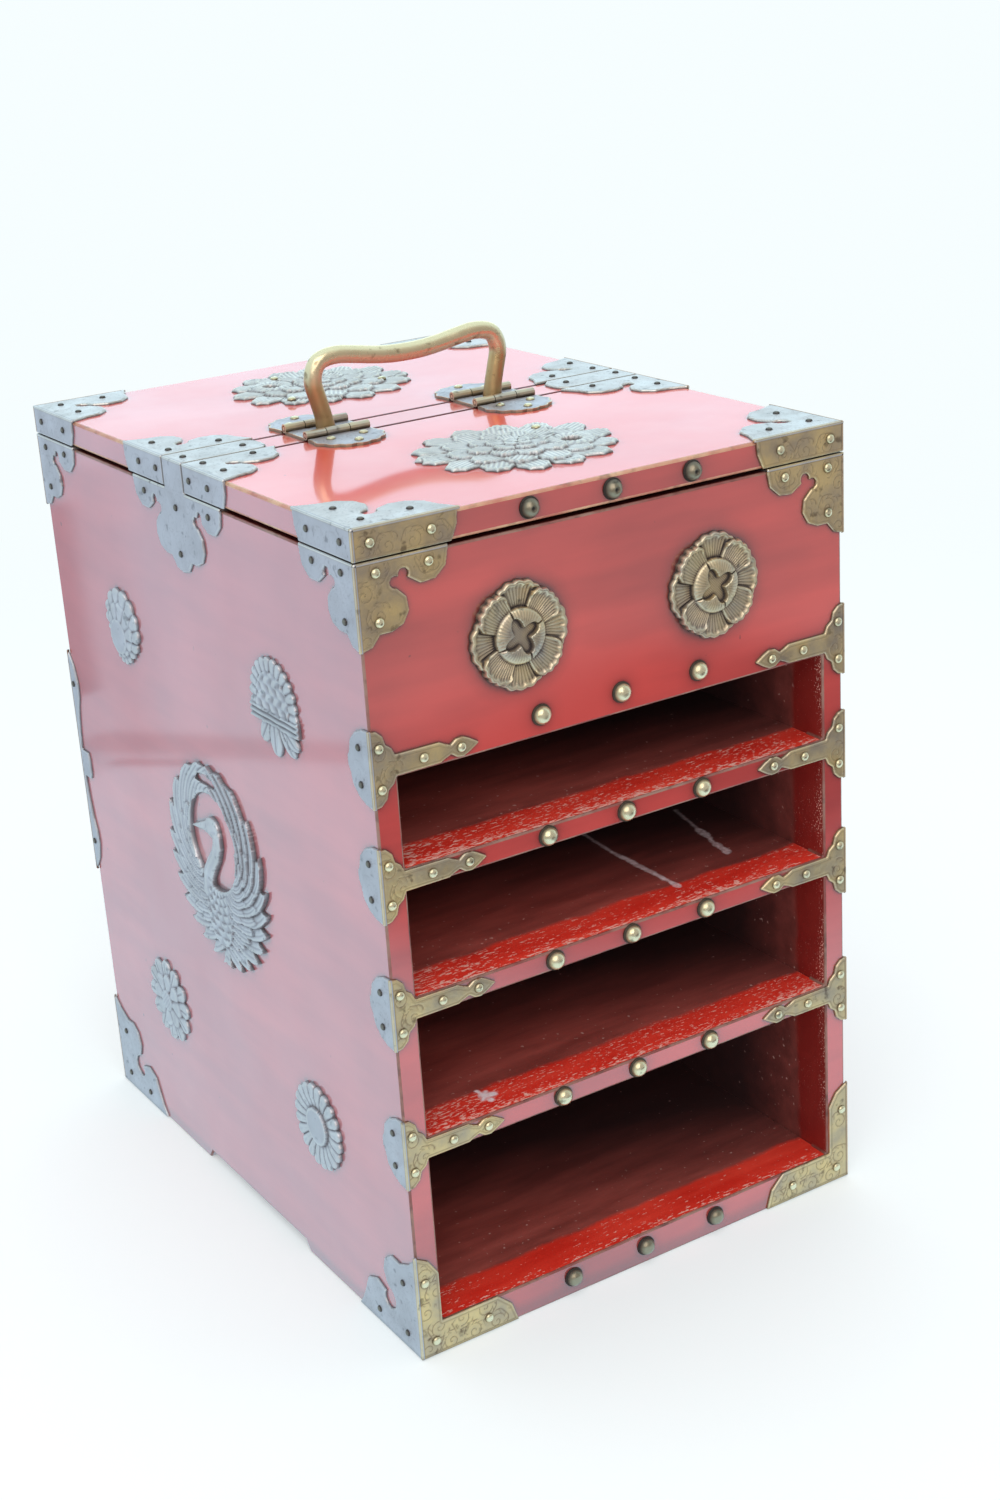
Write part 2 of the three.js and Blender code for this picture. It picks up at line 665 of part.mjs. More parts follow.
// The raised cover feathers round the body and round the opening
const bodyCoverShare = 0.76;
const wingCoverShare = 0.62;

function featheredRing() {
  const first = Math.PI * firstFeatherShare;
  const step = (Math.PI * lastFeatherShare - first) / feathersPerSide;
  const rows = [[0, topDipShare, topDipBulge]];
  for (let i = 0; i <= feathersPerSide; i++) {
    const angle = first + i * step;
    const tip = angle - featherLeanShare * step;
    rows.push([featherNotchShare * Math.sin(angle), featherNotchShare * Math.cos(angle), 0]);
    rows.push([Math.sin(tip), Math.cos(tip), 0]);
  }
  const half = outlinePoints(rows, roundelRadius, roundelRadius);
  // Counterclockwise, as an outline with openings has to be.
  return new THREE.Shape(half.concat(half.slice(1).map(overUp).reverse()).reverse());
}

function craneRoundel() {
  const layer = roundelRelief / 3;
  const rise = openingRiseShare * roundelRadius;
  const opening = new THREE.Path();
  opening.absarc(0, rise, openingShare * roundelRadius, 0, 2 * Math.PI, true);
  const slit = new THREE.Path(outlinePoints(slitShares, roundelRadius, roundelRadius).slice(0, -1));
  const ring = featheredRing();
  ring.holes.push(opening, slit);
  const cover = new THREE.Shape();
  cover.absarc(0, 0, bodyCoverShare * roundelRadius, Math.PI, 2 * Math.PI);
  cover.absarc(0, rise, wingCoverShare * roundelRadius, 0, Math.PI);
  cover.holes.push(opening);
  const points = craneShares.map(([x, y]) => new THREE.Vector2(x * roundelRadius, y * roundelRadius));
  const bird = sheet(new THREE.Shape(points), roundelRelief);
  return joined([sheet(ring, layer), sheet(cover, 2 * layer), bird]);
}

// Copies of a mount drawn for the front left corner, set on the four corners at one level.
function onFourCorners(label, front, rear, level) {
  const meshes = [];
  for (const [side, sideName] of [[-1, 'left'], [1, 'right']]) {
    const place = [side * halfWidth, -halfDepth, level];
    const turned = (solid) => (side < 0 ? solid : solid.mirror(mirrorX));
    meshes.push(named(`front_${sideName}_${label}`, turned(front), brass, ...place));
    const back = turned(rear).mirror(mirrorY);
    meshes.push(named(`rear_${sideName}_${label}`, back, brass, place[0], halfDepth, level));
  }
  return meshes;
}

function caseBoards() {
  const side = sideBoard();
  const span = [-innerHalfWidth, innerHalfWidth];
  const back = box(span, [halfDepth - backThickness, halfDepth], [0, bodyHeight]);
  return [
    named('left_side_board', side, lacquer, -halfWidth),
    named('right_side_board', side.mirror(mirrorX), lacquer, halfWidth),
    named('back_board', back, lacquer),
    named('front_panel', frontPanel(), lacquer),
    named('compartment_floor', crossBoard(panelZ, floorThickness, panelThickness - halfDepth), lacquer),
    named('upper_shelf', shelf(upperShelfZ), lacquer),
    named('middle_shelf', shelf(middleShelfZ), lacquer),
    named('lower_shelf', shelf(lowerShelfZ), lacquer),
    named('bottom_board', bottomBoard(), lacquer),
    named('centre_bar', centreBar(), lacquer),
  ];
}

function caseMounts() {
  const corner = upperCornerMount();
  const bracket = shelfBracket();
  const edge = edgeMount();
  const barEnd = barEndMount();
  const meshes = [
    ...onFourCorners('corner_mount', corner, corner, bodyHeight),
    ...onFourCorners('foot_mount', footMount(footFrontLeaf()), footMount(footSideLeaf()), 0),
  ];
  const brackets = [
    ['panel', panelZ + panelBracketRise],
    ['upper_shelf', upperShelfZ + shelfThickness / 2],
    ['middle_shelf', middleShelfZ + shelfThickness / 2],
    ['lower_shelf', lowerShelfZ + shelfThickness / 2],
  ];
  for (const [side, sideName] of [[-1, 'left'], [1, 'right']]) {
    const turned = (solid) => (side < 0 ? solid : solid.mirror(mirrorX));
    const x = side * halfWidth;
    for (const [label, level] of brackets) {
      meshes.push(named(`${sideName}_${label}_bracket`, turned(bracket), brass, x, -halfDepth, level));
    }
    const rearEdge = turned(edge).mirror(mirrorY);
    const rise = edgeMountRiseShare * bodyHeight;
    meshes.push(named(`${sideName}_rear_edge_mount`, rearEdge, brass, x, halfDepth, rise));
    meshes.push(named(`${sideName}_bar_end_mount`, turned(barEnd), brass, x, 0, lidTop));
  }
  return meshes;
}

function caseOrnaments() {
  const flower = standing(rosette(), X, Z, Y.clone().negate());
  const crane = standing(craneRoundel(), Y.clone().negate(), Z, X.clone().negate());
  const x = halfWidth + plate - cornerLeafWidth - rosetteGap - rosetteRadius;
  const level = panelZ + panelHeight / 2 + rosetteLift;
  const rise = roundelRiseShare * bodyHeight;
  return [
    named('left_rosette', flower, brass, -x, -halfDepth, level),
    named('right_rosette', flower.mirror(mirrorX), brass, x, -halfDepth, level),
    named('left_crane_roundel', crane, brass, -halfWidth, 0, rise),
    named('right_crane_roundel', crane.mirror(mirrorX), brass, halfWidth, 0, rise),
  ];
}

function handleAndHinges() {
  const meshes = [named('carrying_handle', carryingHandle(), brightBrass, 0, 0, lidTop + plate)];
  const pin = hingePin();
  for (const [side, sideName] of [[-1, 'left'], [1, 'right']]) {
    const x = side * handleFoot;
    meshes.push(named(`${sideName}_hinge_plate`, hingePlate(), brass, x, 0, lidTop));
    const below = bodyHeight - washerThickness;
    meshes.push(named(`${sideName}_handle_washer`, handleWasher(), brass, x, 0, below));
    meshes.push(named(`front_${sideName}_hinge_pin`, pin, brass, x, -hingeY, hingeZ));
    meshes.push(named(`rear_${sideName}_hinge_pin`, pin, brass, x, hingeY, hingeZ));
  }
  return meshes;
}

// A lid in a group of its own, whose origin is on its hinge axis. The pieces are drawn for the front lid,
// which reaches towards -Y, and mirrored for the rear lid.
function lid(name, facing) {
  const group = new THREE.Group();
  group.position.set(0, facing * hingeY, hingeZ);
  const turned = (solid) => (facing < 0 ? solid : solid.mirror(mirrorY));
  const inner = facing * (lidInnerEdge - hingeY);
  const outer = facing * (halfDepth - hingeY);
  const top = lidTop - hingeZ;
  const edge = lidInnerEdge - hingeY;
  let board = box([-halfWidth, halfWidth], [-edge - lidDepth, -edge], [top - lidThickness, top]);
  if (facing < 0) {
    const studs = withStuds(board.translate([0, -hingeY, 0]), top - lidThickness / 2);
    board = studs.translate([0, hingeY, 0]);
  }
  group.add(named(`${name}_lid_board`, turned(board), lacquer));
  const leaf = hingeLeaf().mirror(mirrorY);
  for (const [side, sideName] of [[-1, 'left'], [1, 'right']]) {
    const x = side * halfWidth;
    const placed = (solid) => turned(side < 0 ? solid : solid.mirror(mirrorX));
    const innerMount = lidInnerMount().mirror(mirrorY);
    group.add(named(`${name}_${sideName}_lid_corner_mount`, placed(lidCornerMount()), brass, x, outer, top));
    group.add(named(`${name}_${sideName}_lid_inner_mount`, placed(innerMount), brass, x, inner, top));
    group.add(named(`${name}_${sideName}_hinge_leaf`, turned(leaf), brass, side * handleFoot, 0, top));
  }
  const relief = medallion();
  const wreath = facing < 0 ? relief : relief.rotate([0, 0, 180]);
  const away = lidInnerEdge + medallionPlaceShare * lidDepth - hingeY;
  group.add(named(`${name}_lid_medallion`, wreath, brass, 0, facing * away, top));
  return group;
}

// The studs and rosettes reach further out at the front than the mounts do at the back, so the case stands a
// little behind the middle of the whole.
const frontReach = Math.max(studHeight, rosetteRelief, plate);
const cabinet = new THREE.Group();
cabinet.position.y = (frontReach - plate) / 2;
cabinet.add(...caseBoards(), ...caseMounts(), ...caseOrnaments(), ...handleAndHinges());
cabinet.add(lid('front', -1), lid('rear', 1));

const part = new THREE.Group();
part.add(cabinet);

export default part;
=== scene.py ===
"""The looks of the lacquer jewellery cabinet: boards, brass mounts, relief ornaments, studio and camera.

Shapes are worked out in millimetres, in the frame's own axes, and turned into metres when a mesh is made.
"""

import math

import bmesh
import bpy
import numpy as np
from mathutils import Matrix, Vector


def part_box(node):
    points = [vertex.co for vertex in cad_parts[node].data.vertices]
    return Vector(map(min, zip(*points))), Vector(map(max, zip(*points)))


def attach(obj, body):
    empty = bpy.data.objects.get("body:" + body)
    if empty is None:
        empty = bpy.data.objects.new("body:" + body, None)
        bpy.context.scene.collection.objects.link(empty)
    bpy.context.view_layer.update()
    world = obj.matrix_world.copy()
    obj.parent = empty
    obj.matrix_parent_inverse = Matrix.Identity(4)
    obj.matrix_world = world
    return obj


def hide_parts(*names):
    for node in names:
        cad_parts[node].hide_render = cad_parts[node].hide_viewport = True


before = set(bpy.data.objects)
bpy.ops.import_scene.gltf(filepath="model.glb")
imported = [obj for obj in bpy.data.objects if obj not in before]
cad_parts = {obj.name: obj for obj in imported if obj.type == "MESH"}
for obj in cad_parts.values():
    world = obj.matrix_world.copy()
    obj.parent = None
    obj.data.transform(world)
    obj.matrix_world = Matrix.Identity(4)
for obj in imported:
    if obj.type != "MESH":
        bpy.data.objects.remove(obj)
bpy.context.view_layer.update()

MM = 0.001


def limits(node):
    """The lowest and highest corner of a CAD node, in mm."""
    low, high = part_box(node)
    return np.array(low) / MM, np.array(high) / MM


def centre_of(node):
    low, high = limits(node)
    return (low + high) / 2


# Places that the frame gives
SIDE_LOW, SIDE_HIGH = limits("right_side_board")
HALF_WIDTH = -limits("front_lid_board")[0][0]
INNER = SIDE_LOW[0]
FRONT = SIDE_LOW[1]
REAR = SIDE_HIGH[1]
MIDDLE = (FRONT + REAR) / 2
CASE_TOP = SIDE_HIGH[2]
LID_LOW = limits("front_lid_board")[0][2]
LID_TOP = limits("front_lid_board")[1][2]
PLATE = 1.0
SHELVES = ("lower_shelf", "middle_shelf", "upper_shelf")
SIGNS = ((-1, "left"), (1, "right"))

# Bodies that pieces ride on
CASE = "cabinet"
FRONT_LID = "front_lid"
REAR_LID = "rear_lid"
LIDS = (("front", FRONT_LID), ("rear", REAR_LID))

# Camera: solved from the edges of the case in the photograph
LENS = 53.28
SENSOR = 36.0
CAMERA_PLACE = (-411.64, -720.80, 486.80)
AZIMUTH = math.radians(-31.4264)
ELEVATION = math.radians(20.896)
ROLL = math.radians(-3.7494)


def new_object(name, data):
    made = bpy.data.objects.new(name, data)
    bpy.context.scene.collection.objects.link(made)
    return made


def make_camera():
    data = bpy.data.cameras.new("camera")
    data.lens = LENS
    data.sensor_width = SENSOR
    data.clip_start = 0.01
    data.clip_end = 100
    camera = new_object("camera", data)
    level = math.cos(ELEVATION)
    back = Vector((math.sin(AZIMUTH) * level, -math.cos(AZIMUTH) * level, math.sin(ELEVATION)))
    right = (-back).cross(Vector((0, 0, 1))).normalized()
    up = right.cross(-back)
    turned_right = math.cos(ROLL) * right + math.sin(ROLL) * up
    turned_up = -math.sin(ROLL) * right + math.cos(ROLL) * up
    turn = Matrix((turned_right, turned_up, back)).transposed()
    camera.matrix_world = Matrix.Translation(Vector(CAMERA_PLACE) * MM) @ turn.to_4x4()
    bpy.context.scene.camera = camera


# Materials


def linear(colour):
    """The shader's linear values of a colour written as on a screen, 0 to 255. Others stay as they are."""
    if isinstance(colour, bpy.types.NodeSocket) or len(colour) == 4:
        return colour
    channels = [channel / 255 for channel in colour]
    return [c / 12.92 if c <= 0.04045 else ((c + 0.055) / 1.055) ** 2.4 for c in channels] + [1.0]


class Nodes:
    """A short way to write the nodes of a material or of the world."""

    def __init__(self, owner):
        owner.use_nodes = True
        self.owner = owner
        self.tree = owner.node_tree
        self.shader = self.tree.nodes.get("Principled BSDF")
        self.place = self.node("ShaderNodeTexCoord").outputs["Object"]

    def node(self, kind, inputs=None, **settings):
        made = self.tree.nodes.new(kind)
        for key, value in settings.items():
            setattr(made, key, value)
        for key, value in (inputs or {}).items():
            self.feed(made.inputs[key], value)
        return made

    def feed(self, socket, value):
        if isinstance(value, bpy.types.NodeSocket):
            self.tree.links.new(value, socket)
        else:
            socket.default_value = value

    def math(self, operation, *values, clamp=False):
        inputs = dict(enumerate(values))
        return self.node("ShaderNodeMath", inputs, operation=operation, use_clamp=clamp).outputs[0]

    def sum(self, first, *others):
        for value in others:
            first = self.math("ADD", first, value)
        return first

    def product(self, first, second):
        return self.math("MULTIPLY", first, second)

    def vector(self, operation, inputs, output=0):
        return self.node("ShaderNodeVectorMath", inputs, operation=operation).outputs[output]

    def noise(self, scale, detail=3.0, roughness=0.5, place=None):
        inputs = {"Vector": place or self.place, "Scale": scale, "Detail": detail, "Roughness": roughness}
        return self.node("ShaderNodeTexNoise", inputs).outputs["Fac"]

    def stretched(self, scale):
        return self.node("ShaderNodeMapping", {"Vector": self.place, "Scale": scale}).outputs[0]

    def ramp(self, value, low, high, low_out=0.0, high_out=1.0, kind="LINEAR"):
        inputs = {"Value": value, "From Min": low, "From Max": high, "To Min": low_out, "To Max": high_out}
        return self.node("ShaderNodeMapRange", inputs, interpolation_type=kind).outputs[0]

    def mix(self, factor, first, second):
        """A blend of two colours, each as linear() takes it."""
        inputs = {0: factor, 6: linear(first), 7: linear(second)}
        return self.node("ShaderNodeMix", inputs, data_type="RGBA").outputs[2]

    def axes(self, vector=None):
        return self.node("ShaderNodeSeparateXYZ", {"Vector": vector or self.place}).outputs

    def normal(self):
        return self.axes(self.node("ShaderNodeNewGeometry").outputs["Normal"])

    def openness(self, distance):
        return self.node("ShaderNodeAmbientOcclusion", {"Distance": distance}, samples=6).outputs["AO"]

    def from_line(self, start, end):
        """The distance from a place to the line between two places, in metres."""
        run = Vector(end) - Vector(start)
        away = self.vector("SUBTRACT", {0: self.place, 1: start})
        along = self.vector("DOT_PRODUCT", {0: away, 1: run}, "Value")
        share = self.math("DIVIDE", along, run.length_squared, clamp=True)
        foot = self.vector("SCALE", {0: run, "Scale": share})
        return self.vector("DISTANCE", {0: away, 1: foot}, "Value")

    def bump(self, height, strength, distance):
        inputs = {"Height": height, "Strength": strength, "Distance": distance}
        self.feed(self.shader.inputs["Normal"], self.node("ShaderNodeBump", inputs).outputs[0])

    def set(self, **values):
        for key, value in values.items():
            self.feed(self.shader.inputs[key.replace("_", " ")], value)

    def emission(self, colour):
        return self.node("ShaderNodeEmission", {"Color": colour}).outputs[0]

    def shade(self, factor, first, second):
        return self.node("ShaderNodeMixShader", {0: factor, 1: first, 2: second}).outputs[0]


def new_material(name):
    return Nodes(bpy.data.materials.new(name))


SMOKE = (104, 40, 44)
SPECK = (64, 24, 22)
# Painted shade: the colour the lacquer darkens to in its corners and round the mounts
CORNER_SHADE = (70, 26, 24)


def lacquer(name, colour, deep, coat_ior, smoky=0.2):
    """Polished red lacquer: slow changes of tone, faint brush strokes, smoky patches, small marks, and
    painted shade that darkens it in corners and round the mounts.
    """
    n = new_material(name)
    strokes = n.noise(30.0, 3.0, 0.5, n.stretched((0.35, 0.35, 2.6)))
    tone = n.ramp(n.sum(n.noise(9.0, 3.0), n.product(strokes, 0.6)), 0.64, 0.96)
    red = n.mix(tone, deep, colour)
    red = n.mix(n.ramp(n.noise(7.0, 4.0, 0.55), 0.48, 0.85, 0.0, smoky), red, SMOKE)
    red = n.mix(n.ramp(n.noise(260.0, 1.0), 0.8, 0.84, 0.0, 0.7), red, SPECK)
    off_floor = n.ramp(n.axes()[2], 0.0, 0.006, 0.3, 1.0)
    # Painted shade: darker wherever the lacquer is hemmed in, in corners and round the mounts, less so at the
    # floor
    corners = n.ramp(n.openness(0.007), 0.66, 0.985, 0.9, 0.0)
    red = n.mix(n.product(corners, off_floor), red, CORNER_SHADE)
    n.set(Base_Color=red, IOR=1.5, Coat_Weight=1.0, Coat_IOR=coat_ior, Coat_Roughness=0.07)
    n.set(Roughness=n.ramp(n.noise(22.0, 4.0), 0.3, 0.75, 0.3, 0.44))
    n.bump(n.noise(16.0, 1.0), 0.08, 0.0006)
    return n.owner


def worn_edge():
    """The rounded edges of the boards: rubbed to a golden tan on the lids, to a dull brown lower down, and
    still red in the gaps beside the centre bar."""
    n = new_material("worn_lacquer_edge")
    _, y, z = n.axes()
    rubbed = n.ramp(n.noise(60.0, 5.0, 0.6), 0.36, 0.6)
    golden_tan = n.mix(rubbed, (178, 100, 84), (202, 160, 126))
    dull_brown = n.mix(rubbed, (128, 62, 54), (146, 108, 94))
    colour = n.mix(n.math("GREATER_THAN", z, CASE_TOP * MM), dull_brown, golden_tan)
    from_bar = n.math("ABSOLUTE", n.math("SUBTRACT", y, MIDDLE * MM))
    colour = n.mix(n.ramp(from_bar, 0.013, 0.016, 1.0, 0.0), colour, (104, 44, 42))
    colour = n.mix(n.ramp(n.noise(160.0, 3.0), 0.55, 0.75, 0.0, 0.8), colour, (66, 30, 22))
    n.set(Base_Color=colour, Coat_Weight=0.4, Coat_Roughness=0.2)
    n.set(Roughness=n.ramp(n.noise(90.0, 3.0), 0.3, 0.7, 0.3, 0.6))
    n.bump(n.noise(300.0, 3.0), 0.3, 0.0003)
    return n.owner


BAND_DEPTH = 17.0
BAND_FADE = 1.2
SCUFF = (250, 200, 184)
DUST = (216, 180, 170)
WORN_WHITE = (248, 236, 238)
# Pale streaks on the middle shelf and a chip on the lower one: from and to, x and y in mm, width and strength
SHELF_MARKS = (
    ("middle_shelf", (33.4, -48.0), (31.5, -73.0), 1.1, 0.6),
    ("middle_shelf", (31.5, -73.0), (32.0, -115.0), 1.7, 0.85),
    ("middle_shelf", (75.0, -56.0), (70.0, -78.0), 1.2, 0.5),
    ("middle_shelf", (70.0, -78.0), (64.5, -102.0), 2.6, 0.75),
    ("lower_shelf", (-60.0, -116.5), (-55.5, -118.0), 2.4, 1.0),
    ("lower_shelf", (-59.5, -113.0), (-58.5, -121.5), 1.3, 1.0),
    ("lower_shelf", (-57.0, -115.0), (-61.0, -119.5), 0.9, 1.0),
)


def mark(n, shelf, start, end, width, strength):
    """How strongly a ragged streak on a shelf shows, from 0 up to its strength."""
    top = limits(shelf)[1][2]
    gap = n.from_line(Vector((*start, top)) * MM, Vector((*end, top)) * MM)
    ragged = n.ramp(n.noise(130.0, 4.0, 0.6), 0.35, 0.65, 0.1 * width * MM, 0.8 * width * MM)
    shown = n.ramp(n.math("SUBTRACT", gap, ragged), -0.3 * MM, 0.7 * MM, strength, 0.0)
    return n.product(shown, n.ramp(n.noise(420.0, 3.0), 0.4, 0.6, 0.6, 1.0))


def bay_band(n, depth, streaks, scuffs):
    """The vermilion along the front of a bay, with pale scuffs mostly at its front edge and left end, and
    painted shade that darkens it on the side walls.
    """
    x, _, z = n.axes()
    on_wall = n.ramp(n.math("ABSOLUTE", n.normal()[0]), 0.4, 0.6)
    vivid = n.mix(n.ramp(streaks, 0.35, 0.7), (220, 48, 34), (242, 72, 54))
    # Painted shade: the band darker on the side walls of a bay
    vivid = n.mix(n.product(on_wall, 0.8), vivid, (88, 28, 28))
    at_edge = n.math("MAXIMUM", n.ramp(depth, 0.002, 0.006, 0.11, 0.0), n.ramp(x, -0.082, -0.05, 0.06, 0.0))
    by_height = n.ramp(z, 0.02, 0.03, -0.05, 0.025)
    patches = n.ramp(n.noise(30.0, 3.0), 0.38, 0.62, -0.06, 0.0)
    worn = n.sum(scuffs, at_edge, by_height, n.product(on_wall, -0.08), patches)
    return n.mix(n.ramp(worn, 0.6, 0.65, 0.0, 0.85), vivid, SCUFF)


def bay_depth(n, depth, streaks):
    """The dull maroon behind the band: dusty at its front, with painted shade that darkens it with depth and
    to the right.
    """
    dull = n.mix(n.ramp(streaks, 0.35, 0.7), (134, 60, 52), (172, 84, 74))
    shade_depth_right = n.sum(depth, n.product(n.axes()[0], 0.35))
    # Painted shade: darker deeper into the bay and towards its right
    dull = n.mix(n.ramp(shade_depth_right, 0.028, 0.085, 0.0, 0.9), dull, (38, 29, 31))
    dusty = n.sum(n.noise(520.0, 1.0), n.ramp(depth, 0.02, 0.07, 0.05, 0.0))
    return n.mix(n.ramp(dusty, 0.76, 0.82, 0.0, 0.7), dull, DUST)


def bay_lacquer():
    """The inside of the bays: vermilion along the front, dull maroon behind."""
    n = new_material("bay_lacquer")
    _, y, z = n.axes()
    ragged = n.product(n.math("SUBTRACT", n.noise(55.0, 4.0), 0.5), 0.007)
    depth = n.sum(n.math("SUBTRACT", y, FRONT * MM), ragged)
    below_panel = n.math("LESS_THAN", z, limits("front_panel")[0][2] * MM)
    in_front = n.ramp(depth, (BAND_DEPTH - BAND_FADE) * MM, (BAND_DEPTH + BAND_FADE) * MM, 1.0, 0.0)
    band = n.product(in_front, below_panel)
    streaks = n.noise(60.0, 4.0, 0.6, n.stretched((0.4, 2.0, 2.0)))
    scuffs = n.noise(900.0, 2.0, 0.6, n.stretched((0.42, 1.5, 1.5)))
    colour = n.mix(band, bay_depth(n, depth, streaks), bay_band(n, depth, streaks, scuffs))
    for shelf_mark in SHELF_MARKS:
        colour = n.mix(mark(n, *shelf_mark), colour, WORN_WHITE)
    n.set(Base_Color=colour, Coat_Weight=0.25, Coat_Roughness=0.3)
    n.set(Roughness=n.ramp(band, 0.0, 1.0, 0.6, 0.38))
    n.bump(scuffs, 0.3, 0.0003)
    return n.owner


# How dark the plain face of a mount is, as a groove: rims and raised work that lie below it are rubbed bright
# and get a painted highlight
PLAIN_SHADE = 0.12
# Near-white of rubbed brass and a painted highlight, for the rims and raised work
POLISH_AND_HIGHLIGHT = (255, 242, 208)


def brass(name, bright, dark, ground, roughness, tarnish=0.5, polish_and_highlight=0.5, under=None):
    """Brass: rubbed bright on the raised work, partly a painted highlight, dark in the grooves, with a patchy
    patina between, and painted shade in its crevices. Under is the colour painted on what faces down: painted
    shade."""
    n = new_material(name)
    groove = n.node("ShaderNodeAttribute", attribute_name="groove").outputs["Fac"]
    colour = n.mix(n.ramp(n.noise(70.0, 5.0, 0.6), 0.35, 0.7, 0.0, tarnish), bright, dark)
    bare = n.ramp(groove, 0.0, 1.0, 0.92, 0.45)
    # Painted shade: what faces down is darker and less metallic
    if under:
        facing_up = n.ramp(n.normal()[2], -0.5, 0.75)
        colour = n.mix(facing_up, under, colour)
        bare = n.product(bare, n.ramp(facing_up, 0.0, 0.5, 0.25, 1.0))
    # Painted highlight: the rims and raised work mixed towards near-white, partly rubbed brass
    colour = n.mix(n.ramp(groove, 0.0, PLAIN_SHADE, polish_and_highlight, 0.0), colour, POLISH_AND_HIGHLIGHT)
    colour = n.mix(n.ramp(n.noise(240.0, 3.0), 0.62, 0.72, 0.0, 0.6), colour, ground)
    colour = n.mix(n.ramp(groove, 0.0, 1.0, 0.0, 0.95), colour, ground)
    # Painted shade: darker in the crevices, where the brass is hemmed in
    colour = n.mix(n.ramp(n.openness(0.0025), 0.45, 0.95, 0.7, 0.0), colour, ground)
    n.set(Base_Color=colour, Metallic=bare)
    rough = n.sum(n.ramp(n.noise(150.0, 4.0), 0.3, 0.75, -0.08, 0.1), roughness)
    n.set(Roughness=n.math("ADD", rough, n.product(groove, 0.25), clamp=True))
    n.bump(n.sum(n.noise(500.0, 3.0), n.product(n.noise(90.0, 3.0), 1.5)), 0.25, 0.0004)
    return n.owner


# One red lacquer, drawn as lit and shaded copies by the way a face looks: the lid tops painted brighter, the
# right side and rear painted darker, and the left side pinker with a stronger coat, a painted reflection of
# the white studio
LACQUER_FRONT = lacquer("lacquer_front", (200, 64, 57), (164, 48, 44), 2.2)
LACQUER_SIDE_SHEEN = lacquer("lacquer_side", (200, 79, 84), (178, 65, 74), 3.0, 0.4)
LACQUER_TOP_LIT = lacquer("lacquer_top_lit", (233, 64, 46), (218, 54, 40), 1.5, 0.05)
LACQUER_BACK_SHADED = lacquer("lacquer_back_shaded", (168, 46, 40), (138, 36, 32), 1.7)
EDGE = worn_edge()
BAY = bay_lacquer()
# The mount brasses are lit and shaded copies of one brass by the way a face looks: golden on the front, pale
# grey on the left and the lid tops, where they mirror the white studio, browner at the right and rear
BRASS_FRONT = brass("mount_brass_front", (242, 208, 150), (164, 150, 144), (84, 64, 48), 0.36, 0.85, 0.2)
BRASS_SIDE = brass("mount_brass_side", (208, 202, 206), (170, 164, 166), (116, 112, 116), 0.42, polish_and_highlight=0.12)
BRASS_REAR = brass("mount_brass_rear", (228, 188, 156), (182, 150, 130), (84, 68, 58), 0.42, polish_and_highlight=0.25)
BRASS_ORNAMENT = brass("ornament_brass", (226, 198, 154), (168, 156, 156), (62, 52, 52), 0.36, 0.8, 0.2)
BRASS_STUD = brass("stud_brass", (244, 222, 172), (186, 172, 146), (48, 40, 36), 0.26)
BRASS_WORN_STUD = brass("worn_stud_brass", (150, 136, 112), (112, 102, 92), (48, 40, 36), 0.34, polish_and_highlight=0.1)
BRASS_HANDLE = brass(
    "handle_brass", (255, 222, 160), (228, 184, 124), (104, 74, 44), 0.28, polish_and_highlight=0.45, under=(136, 98, 64)
)
BRASS_MEDALLION = brass("medallion_brass", (228, 220, 216), (180, 172, 166), (96, 88, 86), 0.4, polish_and_highlight=0.25)
# Painted shade: the dark rivets of the sides, rear and lid tops stand for the shadow round their heads
BRASS_SHADED_RIVET = brass("shaded_rivet_brass", (112, 104, 98), (80, 72, 68), (44, 38, 36), 0.45, polish_and_highlight=0.1)


# Meshes

SMOOTH_BELOW = math.radians(42)


def new_piece(name, mesh, materials, body, node):
    """A piece that rides on a body, and stands for a CAD node where one is given."""
    for material in materials:
        mesh.materials.append(material)
    piece = new_object(name, mesh)
    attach(piece, body)
    if node:
        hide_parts(node)


class Parts:
    """Points, faces, grooves and material slots of several forms that make up one piece, in mm."""

    def __init__(self):
        self.points, self.faces, self.groove, self.slots = [], [], [], []

    def add(self, points, faces, groove=None, slot=0):
        first = len(self.points)
        self.points.extend(np.asarray(points, float).tolist())
        self.faces.extend([first + i for i in face] for face in faces)
        self.groove.extend([0.0] * len(points) if groove is None else groove)
        self.slots.extend([slot] * len(faces))

    def piece(self, name, materials, body, node=None, slot="mount_brass"):
        mesh = bpy.data.meshes.new(name)
        mesh.from_pydata((np.array(self.points) * MM).tolist(), [], self.faces)
        mesh.update()
        mesh.polygons.foreach_set("material_index", np.array(self.slots, np.int32))
        groove = mesh.attributes.new("groove", "FLOAT", "POINT")
        groove.data.foreach_set("value", np.array(self.groove, np.float32))
        mesh.polygons.foreach_set("use_smooth", np.ones(len(mesh.polygons), bool))
        mesh.set_sharp_from_angle(angle=SMOOTH_BELOW)
        new_piece(name, mesh, materials, body, node)


# Boards

BOARD_MATERIALS = (EDGE, LACQUER_FRONT, LACQUER_SIDE_SHEEN, BAY, LACQUER_BACK_SHADED, LACQUER_TOP_LIT)
EDGE_KIND, FRONT_KIND, LEFT_KIND, BAY_KIND, BACK_KIND, TOP_KIND = range(6)
EDGE_ROUND = 0.8
LID_EDGE_ROUND = 1.1
BOARD_ROUND = 0.4
SHELF_ROUND = 0.2
BAR_ROUND = 0.5
FOLD_ANGLE = 0.3
FRAME_DEPTH = 9.0
BOTTOM_BOARD = 8.0
RECESS_HALF = 44.5
RECESS_HEIGHT = 4.0
RECESS_SLOPE = 3.0


